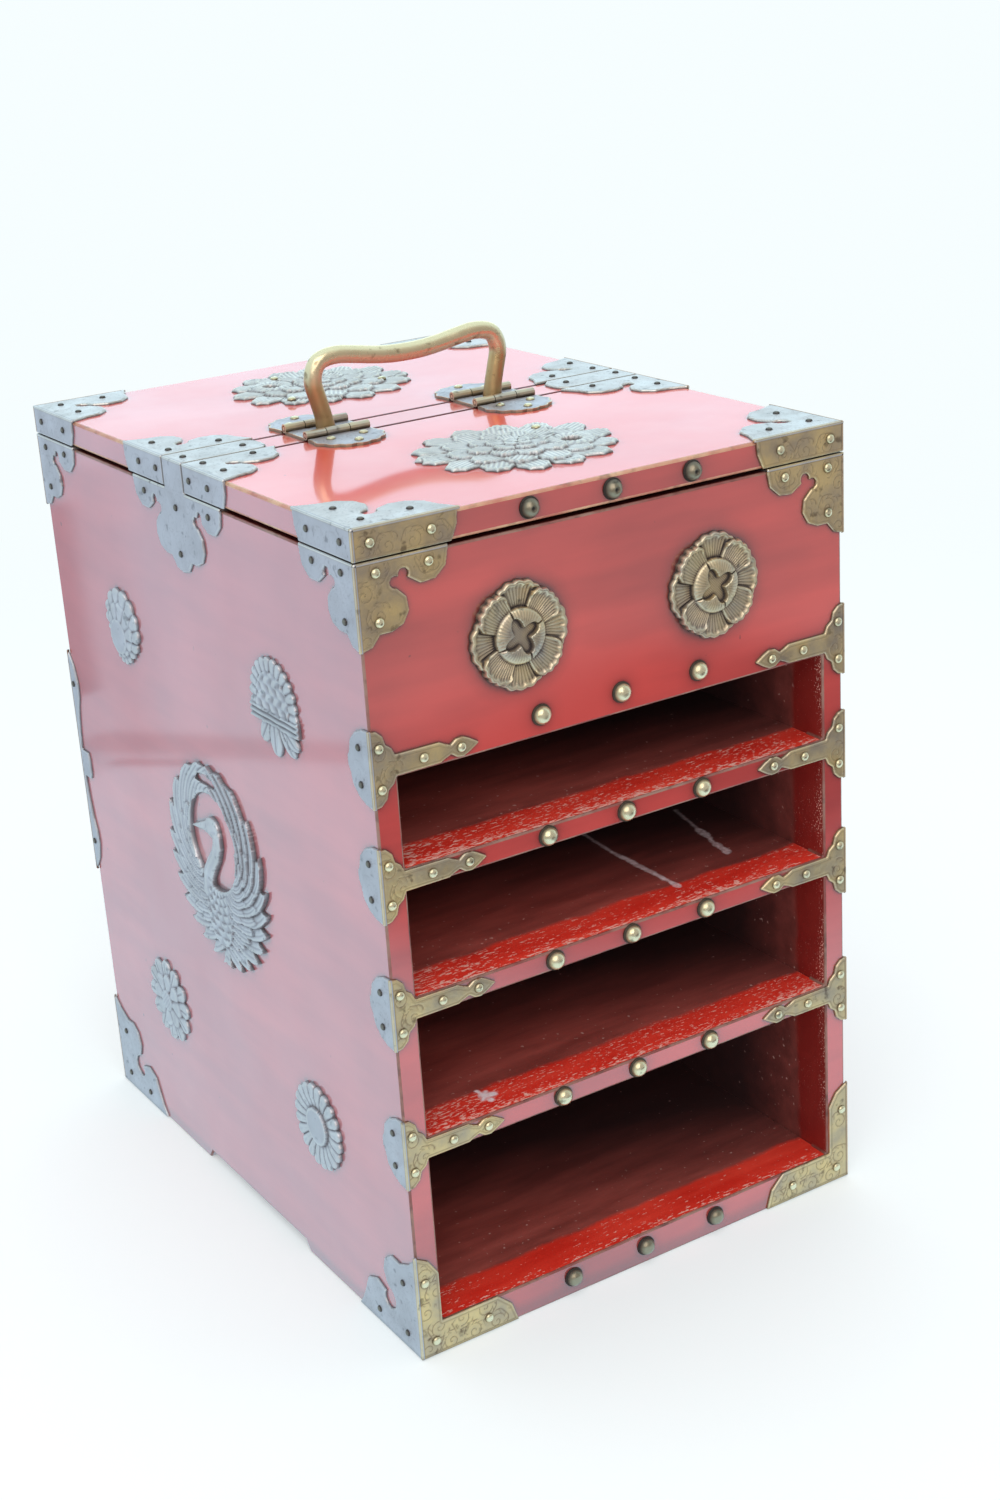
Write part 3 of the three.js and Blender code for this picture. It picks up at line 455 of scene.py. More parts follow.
def by_side(normal, centre):
    if normal.y < -0.5:
        return FRONT_KIND
    if abs(centre.x) < INNER + 1 and abs(normal.x) > 0.5:
        return BAY_KIND
    return LEFT_KIND if centre.x < 0 and normal.y < 0.5 else BACK_KIND


def by_frame(normal, centre):
    outside = abs(centre.x) > INNER + 1 or centre.z > CASE_TOP - 1
    return by_side(normal, centre) if normal.y < -0.5 or outside else BAY_KIND


def by_bay(normal, centre):
    return FRONT_KIND if normal.y < -0.5 else BAY_KIND


def by_back(normal, centre):
    return BACK_KIND if normal.y > 0.5 else BAY_KIND


def by_lid(normal, centre):
    if normal.y < -0.5:
        return FRONT_KIND
    if normal.z > 0.5:
        return TOP_KIND
    return LEFT_KIND if normal.x < -0.5 else BACK_KIND


def behind_frame(place):
    return abs(place.y - FRONT - FRAME_DEPTH) < 0.01


def board_piece(name, bm, bevel, kind_of, body, node):
    """A board from a closed mesh in metres, with worn, rounded edges, but for those that meet the front frame
    flush. kind_of gives the kind of lacquer of a face from its normal and its centre in mm."""
    bmesh.ops.recalc_face_normals(bm, faces=bm.faces)
    for face in bm.faces:
        face.material_index = kind_of(face.normal, face.calc_center_median() / MM)
    edges = []
    for edge in bm.edges:
        flush = all(behind_frame(vert.co / MM) for vert in edge.verts)
        if edge.calc_face_angle(0) > FOLD_ANGLE and not flush:
            edges.append(edge)
    bmesh.ops.bevel(
        bm,
        geom=edges,
        offset=bevel * MM,
        segments=3,
        profile=0.5,
        affect="EDGES",
        material=EDGE_KIND,
        clamp_overlap=True,
    )
    mesh = bpy.data.meshes.new(name)
    bm.to_mesh(mesh)
    bm.free()
    new_piece(name, mesh, BOARD_MATERIALS, body, node)


def board(name, outline, start, end, bevel, kind_of, body, node):
    """A board from an outline of places (y, z), between two places across, in mm."""
    bm = bmesh.new()
    lower = [bm.verts.new(Vector((start, *place)) * MM) for place in outline]
    upper = [bm.verts.new(Vector((end, *place)) * MM) for place in outline]
    bm.faces.new(lower)
    bm.faces.new(upper)
    for i in range(len(outline)):
        j = (i + 1) % len(outline)
        bm.faces.new((lower[i], lower[j], upper[j], upper[i]))
    board_piece(name, bm, bevel, kind_of, body, node)


def plain_board(node, bevel, kind_of=by_bay, body=CASE, front=None, foot=None):
    """A square board in the place of its CAD node, or with a front or a foot of its own."""
    low, high = limits(node)
    front = low[1] if front is None else front
    foot = low[2] if foot is None else foot
    outline = [(front, foot), (high[1], foot), (high[1], high[2]), (front, high[2])]
    board(f"{node}_lacquer", outline, low[0], high[0], bevel, kind_of, body, node)


def front_frame():
    """The front of the case in one lacquered face: stiles, shelf edges, panel and rail round four bays."""
    xs = [-HALF_WIDTH, -INNER, INNER, HALF_WIDTH]
    zs = [0.0, limits("bottom_board")[1][2]]
    for node in (*SHELVES, "front_panel"):
        low, high = limits(node)
        zs += [low[2], high[2]]
    zs[-1] = CASE_TOP
    solid = {(i, k) for i in range(3) for k in range(len(zs) - 1) if i != 1 or k % 2 == 0}
    bm = bmesh.new()
    verts = {}

    def corner(i, k, depth):
        if (i, k, depth) not in verts:
            verts[i, k, depth] = bm.verts.new(Vector((xs[i], FRONT + depth, zs[k])) * MM)
        return verts[i, k, depth]

    for i, k in solid:
        ring = [(i, k), (i + 1, k), (i + 1, k + 1), (i, k + 1)]
        for depth in (0.0, FRAME_DEPTH):
            bm.faces.new([corner(*place, depth) for place in ring])
        beyond = [(i, k - 1), (i + 1, k), (i, k + 1), (i - 1, k)]
        for here, following, cell in zip(ring, ring[1:] + ring[:1], beyond):
            if cell not in solid:
                ends = (corner(*here, 0.0), corner(*following, 0.0))
                bm.faces.new((*ends, corner(*following, FRAME_DEPTH), corner(*here, FRAME_DEPTH)))
    board_piece("lacquer_front", bm, EDGE_ROUND, by_frame, CASE, "front_panel")


def make_boards():
    behind = FRONT + FRAME_DEPTH
    outline = [
        (behind, 0),
        (MIDDLE - RECESS_HALF, 0),
        (MIDDLE - RECESS_HALF + RECESS_SLOPE, RECESS_HEIGHT),
        (MIDDLE + RECESS_HALF - RECESS_SLOPE, RECESS_HEIGHT),
        (MIDDLE + RECESS_HALF, 0),
        (REAR, 0),
        (REAR, CASE_TOP),
        (behind, CASE_TOP),
    ]
    for sign, side in SIGNS:
        start, end = sorted((sign * INNER, sign * HALF_WIDTH))
        board(f"{side}_lacquer_side", outline, start, end, EDGE_ROUND, by_side, CASE, f"{side}_side_board")
    front_frame()
    for node in reversed(SHELVES):
        plain_board(node, SHELF_ROUND, front=behind)
    plain_board("compartment_floor", BOARD_ROUND)
    plain_board("back_board", BOARD_ROUND, by_back)
    bottom = limits("bottom_board")[1][2] - BOTTOM_BOARD
    plain_board("bottom_board", SHELF_ROUND, front=behind, foot=bottom)
    plain_board("centre_bar", BAR_ROUND, by_lid)
    plain_board("front_lid_board", LID_EDGE_ROUND, by_lid, FRONT_LID, front=FRONT)
    plain_board("rear_lid_board", LID_EDGE_ROUND, by_lid, REAR_LID)


# Sheets of the mounts, drawn over the flat faces of their CAD nodes

# Each side that a sheet can face: the axis and direction it faces, the axes across and up its plane, and
# whether the faces of a sheet have to turn round there
SIDES = {
    "left": (0, -1, 1, 2, True),
    "right": (0, 1, 1, 2, False),
    "front": (1, -1, 0, 2, False),
    "rear": (1, 1, 0, 2, True),
    "top": (2, 1, 0, 1, False),
}
LEAST_AREA = 12.0
CHUNK = 4096


def flat_faces(node, side):
    """The outlines of a node's flat faces towards a side, as {level: [loops]}, in mm."""
    axis, direction, u, v, _ = SIDES[side]
    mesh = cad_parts[node].data
    mesh.calc_loop_triangles()
    areas, edges = {}, {}
    for triangle in mesh.loop_triangles:
        if triangle.normal[axis] * direction > 0.99:
            corners = [np.round(np.array(mesh.vertices[i].co, float) / MM, 3) for i in triangle.vertices]
            level = round(float(np.mean([corner[axis] for corner in corners])), 1)
            ring = [(corner[u], corner[v]) for corner in corners]
            edges.setdefault(level, set()).update(zip(ring, ring[1:] + ring[:1]))
            areas[level] = areas.get(level, 0.0) + triangle.area / MM**2
    return {level: chained(edges[level]) for level in edges if areas[level] > LEAST_AREA}


def chained(edges):
    """The closed loops that the outer edges of some triangles make."""
    following = {a: b for a, b in edges if (b, a) not in edges}
    loops = []
    while following:
        start, here = following.popitem()
        loop = [start]
        while here != start and here in following:
            loop.append(here)
            here = following.pop(here)
        loops.append(np.array(loop))
    return loops


def depth_inside(loops):
    """A function that gives how deep points lie inside an outline: negative outside it."""
    starts = np.concatenate(loops)
    run_u, run_v = (np.concatenate([np.roll(loop, -1, axis=0) for loop in loops]) - starts).T
    length = np.maximum(run_u**2 + run_v**2, 1e-9)

    def chunk(across, up):
        away_u, away_v = across[:, None] - starts[:, 0], up[:, None] - starts[:, 1]
        share = np.clip((away_u * run_u + away_v * run_v) / length, 0, 1)
        nearest = np.hypot(away_u - share * run_u, away_v - share * run_v).min(1)
        with np.errstate(divide="ignore", invalid="ignore"):
            hits = ((away_v < 0) != (away_v < run_v)) & (away_u < away_v * run_u / run_v)
        return np.where(hits.sum(1) % 2 == 1, nearest, -nearest)

    def depth(across, up):
        flat_across, flat_up = np.ravel(across), np.ravel(up)
        firsts = range(0, len(flat_across), CHUNK)
        depths = [chunk(flat_across[i : i + CHUNK], flat_up[i : i + CHUNK]) for i in firsts]
        return np.concatenate(depths).reshape(np.shape(across))

    return depth


# How dark the cut rim of a sheet is, as a groove
RIM_SHADE = 0.45


def crossings(field, grid, step, axis, first):
    """Where the outline crosses the grid lines along an axis: the number of each crossing, counted up from
    first, or -1 for none, and their places."""
    near, far = (field[:-1], field[1:]) if axis == 0 else (field[:, :-1], field[:, 1:])
    starts = grid[:-1] if axis == 0 else grid[:, :-1]
    crossing = (near > 0) != (far > 0)
    share = np.clip(near / np.where(crossing, near - far, 1.0), 0.04, 0.96)[crossing]
    numbers = np.full(near.shape, -1)
    numbers[crossing] = first + np.arange(len(share))
    return numbers, starts[crossing] + np.outer(share * step, (1 - axis, axis))


def grid_faces(cells):
    """Faces over grid cells, and the pieces of the rim that they leave. A cell is its four corners and the
    crossing after each, in a ring, -1 where there is none."""
    inside = cells[..., ::2] >= 0
    whole = inside.all(-1)
    faces = cells[whole][:, ::2].tolist()
    rim = []
    for cell in cells[inside.any(-1) & ~whole].tolist():
        solid = [k for k in (0, 2, 4, 6) if cell[k] >= 0]
        if solid in ([0, 4], [2, 6]):
            faces += [[cell[k], cell[k + 1], cell[k - 1]] for k in solid]
            rim += [(cell[k + 1], cell[k - 1]) for k in solid]
        else:
            faces.append([number for number in cell if number >= 0])
            ends = [(k not in solid, cell[k + 1]) for k in (0, 2, 4, 6) if cell[k + 1] >= 0]
            rim.append(tuple(number for _, number in sorted(ends)))
    return faces, rim


def relief_mesh(inside, low, high, step, height, groove, base):
    """A raised form over a plane: where inside is positive its surface has the given height, its walls
    follow the outline down to the base, and it is closed underneath. Returns points (across, up, out), faces
    and grooves."""
    us, vs = (np.arange(low[k] - 1.5 * step, high[k] + 2 * step, step) for k in (0, 1))
    across, up = np.meshgrid(us, vs, indexing="ij")
    field = inside(across, up)
    field[[0, -1]] = field[:, [0, -1]] = -1.0
    field[field == 0] = -1e-6
    solid = field > 0
    index = np.full(field.shape, -1)
    index[solid] = np.arange(solid.sum())
    grid = np.stack([across, up], -1)
    cut_u, places_u = crossings(field, grid, step, 0, solid.sum())
    cut_v, places_v = crossings(field, grid, step, 1, solid.sum() + len(places_u))
    flat = np.concatenate([grid[solid], places_u, places_v])
    ring = (
        (index[:-1, :-1], cut_u[:, :-1]),
        (index[1:, :-1], cut_v[1:]),
        (index[1:, 1:], cut_u[:, 1:]),
        (index[:-1, 1:], cut_v[:-1]),
    )
    faces, rim = grid_faces(np.stack([numbers for pair in ring for numbers in pair], -1))
    on_rim = sorted({i for pair in rim for i in pair})
    below = {v: len(flat) + k for k, v in enumerate(on_rim)}
    walls = np.column_stack([flat[on_rim], np.full(len(on_rim), base)])
    points = np.concatenate([np.column_stack([flat, height(*flat.T)]), walls])
    grooves = np.concatenate([groove(*flat.T), np.full(len(on_rim), RIM_SHADE)])
    faces += [[b, a, below[a], below[b]] for a, b in rim]
    faces += closing_faces(points, [(below[b], below[a]) for a, b in rim])
    return points, faces, grooves


def closing_faces(points, edges):
    """Triangles over the flat loops that the edges make, facing away from the surface."""
    bm = bmesh.new()
    used = sorted({i for edge in edges for i in edge})
    verts = {i: bm.verts.new(points[i]) for i in used}
    made = [bm.edges.new((verts[a], verts[b])) for a, b in edges]
    bm.verts.index_update()
    filled = bmesh.ops.triangle_fill(bm, edges=made, use_beauty=True, normal=(0, 0, -1))
    triangles = []
    for item in filled["geom"]:
        if isinstance(item, bmesh.types.BMFace):
            ring = [used[vert.index] for vert in item.verts]
            item.normal_update()
            triangles.append(ring if item.normal.z < 0 else ring[::-1])
    bm.free()
    return triangles


def add_relief(parts, side, level, relief, slot=0):
    """Adds a form given over a plane, points (across, up, out), to the parts, standing on a side."""
    points, faces, groove = relief
    axis, direction, u, v, turned = SIDES[side]
    placed = np.zeros((len(points), 3))
    placed[:, u] = points[:, 0]
    placed[:, v] = points[:, 1]
    placed[:, axis] = level + direction * points[:, 2]
    parts.add(placed, [face[::-1] for face in faces] if turned else faces, groove, slot)


FOLD_ROUND = 0.55
ENGRAVED_DEPTH = 0.16
BORDER_DEPTH = 1.1
BORDER_WIDTH = 0.3
SCROLL_SPACING = 9.6
SCROLL_MARGIN = 3.2
SCROLL_REACH = 4.7
STEM_REACH = 3.4


def bumped(value, width):
    """A round-shouldered rise from 0 at the edge to 1 at the given depth."""
    share = np.clip(value / width, 0, 1)
    return np.sqrt(1 - (1 - share) ** 2)


def ridge(off, width):
    """A smooth ridge: 1 where off is 0, fading over a width."""
    return np.exp(-((off / width) ** 2))


def scroll_centres(depth, low, high):
    """Places for the engraved scrolls of a sheet, spread in staggered rows inside its border."""
    centres = []
    for number, row in enumerate(np.arange(low[1] + SCROLL_MARGIN, high[1], SCROLL_SPACING * 0.8)):
        start = low[0] + SCROLL_MARGIN + (number % 2) * SCROLL_SPACING / 2
        for column in np.arange(start, high[0], SCROLL_SPACING):
            if depth(np.array([column]), np.array([row]))[0] > 1.4:
                centres.append((column, row))
    return np.array(centres) if centres else np.array([(low + high) / 2])


def engraving(depth, low, high, strength):
    """How deep the chased lines of a sheet are, 0 to 1: a border line, and plumed scrolls with veins."""
    centres = scroll_centres(depth, low, high)

    def groove(across, up):
        inside = depth(across, up)
        border = 0.7 * ridge(inside - BORDER_DEPTH, BORDER_WIDTH)
        # The rim keeps no groove, so it gets the painted highlight
        plain = PLAIN_SHADE * np.clip((inside - 0.2) / 0.5, 0, 1)
        if strength == 0:
            return np.maximum(border, plain)
        away = np.stack([across[:, None] - centres[None, :, 0], up[:, None] - centres[None, :, 1]], 2)
        reach = np.sqrt((away**2).sum(2))
        nearest = reach.argmin(1)
        rows = np.arange(len(nearest))
        radius = reach[rows, nearest]
        turn = np.where(nearest % 2 == 0, 1, -1)
        angle = turn * np.arctan2(away[rows, nearest, 1], away[rows, nearest, 0]) + 2.1 * nearest
        spiral = (radius / 2.3 - angle / (2 * np.pi)) % 1.0
        stem = ridge(spiral - 0.5, 0.085) * (radius < STEM_REACH)
        leafy = np.clip((np.cos(angle) + 0.3) / 0.3, 0, 1)
        veins = ridge(np.sin(4.5 * angle + 1.3 * radius), 0.36) * (radius > 3.1) * (radius < SCROLL_REACH)
        rim = ridge(radius - SCROLL_REACH - 0.25 * np.cos(5 * angle), 0.24)
        field = np.maximum(stem, np.maximum(0.8 * veins, rim) * leafy) * (inside > BORDER_DEPTH + 0.4)
        return np.maximum(plain, np.maximum(border, field) * strength)

    return groove


def sheet_relief(loops, step, strength, rim=None, fold=(FOLD_ROUND, FOLD_ROUND), base=-PLATE):
    """An engraved sheet of brass, rounded over its edge by a fold of a height and a width. A rim can
    cut the outline to a shape of its own."""
    inside = depth_inside(loops)
    points = np.concatenate(loops)
    low, high = points.min(0), points.max(0)
    if rim:
        inside = rim(inside, (low + high) / 2)
    groove = engraving(inside, low, high, strength)

    def height(across, up):
        return fold[0] * (bumped(inside(across, up), fold[1]) - 1) - ENGRAVED_DEPTH * groove(across, up)

    return relief_mesh(inside, low, high, step, height, groove, base)


MOUNT_MATERIALS = (BRASS_FRONT, BRASS_SIDE, BRASS_REAR, BRASS_MEDALLION)
# For each side: the size of a facet, how strong the engraving is, and which of the brasses it has: the copies
# of one brass that paint how light falls on each side
SHEETS = {
    "front": (0.34, 0.75, 0),
    "left": (0.5, 0.3, 1),
    "top": (0.5, 0.35, 3),
    "right": (0.7, 0.3, 2),
    "rear": (0.9, 0.0, 2),
}


def dressed_mount(node, body, *sides):
    """The brass sheets of one mount, one over each flat face that shows."""
    parts = Parts()
    for side in sides:
        step, strength, slot = SHEETS[side]
        for level, loops in flat_faces(node, side).items():
            add_relief(parts, side, level, sheet_relief(loops, step, strength), slot)
    parts.piece(f"{node}_sheet", MOUNT_MATERIALS, body, node)


def make_mounts():
    for _, side in SIGNS:
        for end, lid in LIDS:
            dressed_mount(f"{end}_{side}_corner_mount", CASE, side, end, "top")
            dressed_mount(f"{end}_{side}_foot_mount", CASE, side, end)
            dressed_mount(f"{end}_{side}_lid_corner_mount", lid, side, end, "top")
            dressed_mount(f"{end}_{side}_lid_inner_mount", lid, side, "top")
        for board_name in ("panel", *reversed(SHELVES)):
            dressed_mount(f"{side}_{board_name}_bracket", CASE, side, "front")
        dressed_mount(f"{side}_rear_edge_mount", CASE, side, "rear")
        dressed_mount(f"{side}_bar_end_mount", CASE, side, "top")


# Relief ornaments

HOLLOW_REACH = 1.2
HOLLOW_SHADE = 1.9
AROUND = [
    (math.cos(angle) * reach, math.sin(angle) * reach)
    for reach in (HOLLOW_REACH / 2, HOLLOW_REACH)
    for angle in np.arange(0, 2 * np.pi, np.pi / 4)
]
FOOT = -0.2
THINNEST = 0.05
# How an ornament is turned: across and up
AS_DRAWN = (1, 1)
MIRRORED = (-1, 1)
TURNED_ROUND = (-1, -1)


def ornament(name, side, centre, level, grid, shape, body, material, node=None, flip=AS_DRAWN):
    """A relief over a flat face, on a grid of a half width and a step. shape gives the depth inside its
    outline and its height, from places across and up from its centre. The dark of its hollows follows from
    how far it lies under its surroundings."""
    half_width, step = grid

    def local(across, up):
        return flip[0] * (across - centre[0]), flip[1] * (up - centre[1])

    def groove(across, up):
        x, y = local(across, up)
        around = sum(shape(x + dx, y + dy)[1] for dx, dy in AROUND) / len(AROUND)
        # What stands above its surroundings falls under PLAIN_SHADE and gets the painted highlight; hollows
        # get the patina
        return np.clip(PLAIN_SHADE + (around - shape(x, y)[1]) * HOLLOW_SHADE, 0, 1)

    def inside(across, up):
        return shape(*local(across, up))[0]

    def height(across, up):
        return shape(*local(across, up))[1]

    low, high = np.array(centre) - half_width, np.array(centre) + half_width
    parts = Parts()
    add_relief(parts, side, level, relief_mesh(inside, low, high, step, height, groove, FOOT))
    parts.piece(name, [material], body, node)


def polar(x, y):
    return np.hypot(x, y), np.arctan2(y, x)


def rounded_off(outline, height, lift, shoulder, top):
    """An outline, and the height over it, let down to the outline over a shoulder and kept under a top."""
    return outline, np.clip(height * bumped(outline + lift, shoulder), THINNEST, top)


def fan_petal(radius, angle, turn, reach, root_half, rim_half):
    """A fan-shaped petal that rises from a cup to a scalloped rim. Gives how deep inside it a point lies, how
    far from its rim, and the place across it, -1 to 1."""
    off = (angle - turn + np.pi) % (2 * np.pi) - np.pi
    half = root_half + (rim_half - root_half) * np.clip((radius - 9) / 9, 0, 1)
    across = off / half
    scallop = 0.6 * (1 - np.abs(np.cos(2.6 * np.pi * across))) ** 0.8
    from_rim = reach - 2.6 * np.abs(across) ** 3 - scallop - radius
    return np.minimum(from_rim, (half - np.abs(off)) * radius), from_rim, across


ROSETTE_PETALS = (
    # turn in degrees, reach, half width at the root and at the rim, height of the root
    (4, 19.3, 0.50, 0.60, 0.3),
    (88, 19.3, 0.50, 0.60, 0.3),
    (182, 19.3, 0.50, 0.60, 0.3),
    (268, 19.3, 0.50, 0.60, 0.3),
    (43, 18.4, 0.52, 0.43, 1.5),
    (137, 18.7, 0.54, 0.46, 1.4),
    (226, 18.5, 0.50, 0.43, 1.5),
    (317, 18.7, 0.54, 0.45, 1.4),
)
ROSETTE_TOP = 3.55
CUP_RADIUS = 9.8


def rosette_shape(x, y):
    """Eight fluted petals with curled rims, four over four, round a cup of four petals and a hatched star."""
    radius, angle = polar(x, y)
    outline = 14.0 - radius
    height = np.full(np.shape(x), 0.4)
    for turn, reach, root_half, rim_half, foot in ROSETTE_PETALS:
        deep, from_rim, across = fan_petal(radius, angle, math.radians(turn), reach, root_half, rim_half)
        curl = 0.8 * ridge(from_rim - 1.1, 0.9)
        lip = 0.2 * ridge(deep - 0.6, 0.4) * np.clip((radius - 13) / 3, 0, 1)
        flutes = 0.14 * np.cos(42 * across) * np.clip((from_rim - 1.4) / 1.2, 0, 1)
        rise = 0.35 + 0.5 * np.clip((radius - 10) / 7, 0, 1) + curl + lip + flutes
        height = np.where(deep > 0, foot + rise * bumped(deep, 0.5), height)
        outline = np.maximum(outline, deep)
    lean = angle + 0.2 + 0.02 * radius
    star_edge = 2.9 + 4.0 * np.abs(np.sin(2 * lean)) ** 1.7
    cup_in = np.minimum(CUP_RADIUS - radius, radius - star_edge)
    cup_in = np.minimum(cup_in, np.abs(np.cos(2 * lean)) * radius / 2)
    dome = 1.3 * np.sin(np.clip((10.2 - radius) / 5.2, 0, 1) * np.pi * 0.6)
    cup = 1.6 + (0.6 + dome + 0.07 * np.cos(46 * angle)) * bumped(cup_in, 0.8)
    star = 1.5 + 0.14 * np.cos(6.5 * x) * np.cos(6.5 * y)
    height = np.where(radius < CUP_RADIUS, np.where(radius < star_edge, star, cup), height)
    return rounded_off(outline, height, 0.2, 0.6, ROSETTE_TOP)


def polyline_distance(x, y, points):
    """The distance to a line through points, and how far along it the nearest place is, 0 to 1."""
    points = np.array(points, float)
    lengths = np.hypot(*np.diff(points, axis=0).T)
    gone = 0.0
    best, along = np.full(np.shape(x), 1e9), np.zeros(np.shape(x))
    for (ax, ay), (bx, by), length in zip(points[:-1], points[1:], lengths):
        share = np.clip(((x - ax) * (bx - ax) + (y - ay) * (by - ay)) / length**2, 0, 1)
        gap = np.hypot(x - ax - share * (bx - ax), y - ay - share * (by - ay))
        along = np.where(gap < best, (gone + share * length) / lengths.sum(), along)
        best = np.minimum(gap, best)
        gone += length
    return best, along


CRANE_TOP = 2.95
CRANE_OPENING = (0.9, 10.5, 19.6)
CRANE_NECK = ((9.5, -12), (8, -5), (4, 0.5), (0, 5), (-2.6, 10), (-2.8, 14), (0, 17), (4.5, 15.3))
CRANE_BEAK = ((4, 16.2), (17.5, 12.6))
CRANE_FEATHERS = (
    # feathers in a half, reach low down and at the top of the ring, depth of the notches, sweep, height, rise
    (14, 42.0, 42.0, 6.5, 0.75, 0.7, 1.0),
    (16, 33.5, 27.5, 4.5, 0.60, 1.2, 0.9),
    (15, 25.5, 20.0, 3.5, 0.45, 1.6, 0.8),
)


def crane_wings(x, y):
    """Three rows of feathers in a ring with an opening: how deep inside a point lies, and the height."""
    radius = np.hypot(x, y)
    angle = np.arctan2(np.abs(x), -y)
    ring = np.hypot(x - CRANE_OPENING[0], y - CRANE_OPENING[1]) - CRANE_OPENING[2]
    raised = np.clip((angle - 1.7) / 1.1, 0, 1)
    height = np.zeros(np.shape(x))
    for row, (count, low_reach, top_reach, notch, sweep, foot, rise) in enumerate(CRANE_FEATHERS):
        reach = low_reach + (top_reach - low_reach) * raised
        share = np.clip((radius - 16) / (reach - 16), 0, 1)
        part = ((angle - sweep * (1 + 0.5 * raised) * share**1.3) * count / np.pi + 40) % 1.0
        tip = reach - notch * (1 - 0.75 * raised) * (np.abs(part - 0.12) / 0.88) ** 0.8
        rib = 0.2 * ridge(part - 0.4, 0.07)
        height = np.where(radius < tip, foot + rise * (1 - part) ** 0.6 - rib, height)
        if row == 0:
            ring = np.minimum(ring, tip - radius)
    slit = ((x - 3) / 8.5) ** 2 + ((y - 35.4 + 0.02 * (x - 3) ** 2) / 2.2) ** 2 - 1
    return np.minimum(ring, slit * 2.0), height


def crane_plumage(x, y):
    """The scale-like feathers of the body."""
    down = np.hypot(x, y + 2) / 3.4
    row = np.floor(down)
    cell = (np.arctan2(x, -y - 2) * 3.2 + 0.5 * (row % 2)) % 1.0 - 0.5
    return 2.1 + 0.55 * np.clip(1.25 - (down - row + 0.9 * (2 * cell) ** 2), 0, 1)


def crane_shape(x, y):
    """A crane whose raised wings close a ring over its head. Drawn with the head towards +x."""
    ring, height = crane_wings(x, y)
    on_body = (x / 10) ** 2 + ((y + 19) / 14) ** 2 < 1
    height = np.where(on_body, crane_plumage(x, y), height) * bumped(ring + 0.3, 1.0)
    gap, along = polyline_distance(x, y, CRANE_NECK)
    beak_gap, beak_along = polyline_distance(x, y, CRANE_BEAK)
    head = 4.2 - np.hypot((x - 0.4) / 1.25, y - 16.4)
    bird = np.maximum(np.maximum(4.1 - 1.8 * along - gap, head), 2.5 - 2.1 * beak_along - beak_gap)
    rise = 1.2 + 1.7 * np.sqrt(np.clip(bird / 3.5, 0, 1))
    height = np.where(bird > 0, np.maximum(rise, np.where(y < -8, height, 0)), height)
    return np.maximum(ring, bird), np.clip(height, THINNEST, CRANE_TOP)


def petal(x, y, place, direction, length, width, serration=0.0, teeth=9.0):
    """One petal or leaf: how deep inside it a point lies, how far along and how far across, both 0 to 1."""
    turn = math.radians(direction)
    dx, dy = x - place[0], y - place[1]
    along = (dx * math.cos(turn) + dy * math.sin(turn)) / length
    across = (-dx * math.sin(turn) + dy * math.cos(turn)) / width
    reach, angle = polar(2 * along - 1, 2 * across)
    wave = serration * np.abs(np.sin(teeth * angle / 2))
    return (1 - reach - wave) * min(length, width) / 2, along, across


# Rings of leaves and petals of a lid medallion, from the outside in
MEDALLION_RINGS = (
    # how many, how far out, length, width, height of the root, first turn, lean in degrees, frills
    (14, 17, 20, 13, 0.3, 0.15, 22, 9),
    (11, 11, 18, 13, 0.8, 0.40, -24, 11),
    (9, 5.5, 14, 11, 1.3, 0.10, 20, 11),
    (6, 2.4, 9, 9, 1.7, 0.60, -15, 9),
    (4, 0.4, 5.5, 6, 2.0, 0.10, 12, 9),
)
MEDALLION_TOP = 2.95
LONG_LEAF = ((-19, 6), 176, 20, 11, 0.3, 9)
BLOSSOM_CENTRE = (-1.5, -0.5)
SWIRL = (15.6, -8.6, 9.2)


def medallion_petals():
    petals = [LONG_LEAF]
    for count, root, length, width, foot, start, lean, teeth in MEDALLION_RINGS:
        for k in range(count):
            turn = start + 2 * math.pi * k / count
            place = (BLOSSOM_CENTRE[0] + root * math.cos(turn), BLOSSOM_CENTRE[1] + root * math.sin(turn))
            reach = length * (1 + 0.09 * math.sin(2.3 * k * k + count))
            petals.append((place, math.degrees(turn) + lean, reach, width, foot, teeth))
    return petals


def medallion_shape(x, y):
    """A peony among leaves. Each petal is cupped, fluted from its root and frilled at its end."""
    radius, angle = polar(x, y)
    outline = 26.0 + 0.8 * np.cos(9 * angle) - radius
    height = np.where(outline > 0, 0.7, 0.0)
    for place, direction, length, width, foot, teeth in medallion_petals():
        deep, along, across = petal(x, y, place, direction, length, width, 0.1, teeth)
        ribs = 0.12 * np.cos(46 * across + 3 * along) * np.clip(along * 1.5, 0, 1)
        rise = 0.4 + 0.7 * along - 1.3 * across**2 + ribs
        lip = 0.3 * ridge(deep - 0.6, 0.4) * (along > 0.4)
        height = np.where(deep > 0, foot + (rise + lip) * bumped(deep, 0.7), height)
        outline = np.maximum(outline, deep)
    swirl, curl = polar(x - SWIRL[0], y - SWIRL[1])
    edge = SWIRL[2] - 0.6 * np.abs(np.sin(5.5 * curl)) - swirl
    swell = np.cos(np.clip((swirl - 6.2) / 3.2, -1, 1) * np.pi / 2)
    ring = 1.3 + 0.9 * swell + 0.16 * np.cos(18 * curl + swirl)
    ring = np.where(swirl < 3.6 + 0.4 * np.cos(curl), 0.4, ring)
    height = np.where(edge > 0, ring, height)
    return rounded_off(np.maximum(outline, edge), height, 0.4, 2.4, MEDALLION_TOP)


FLOWER_TOP = 2.4
FLOWER_LIFT = 0.3


def boss(radius, size, rise):
    return 2.0 + rise * np.cos(np.clip(radius / size, 0, 1) * np.pi / 2)


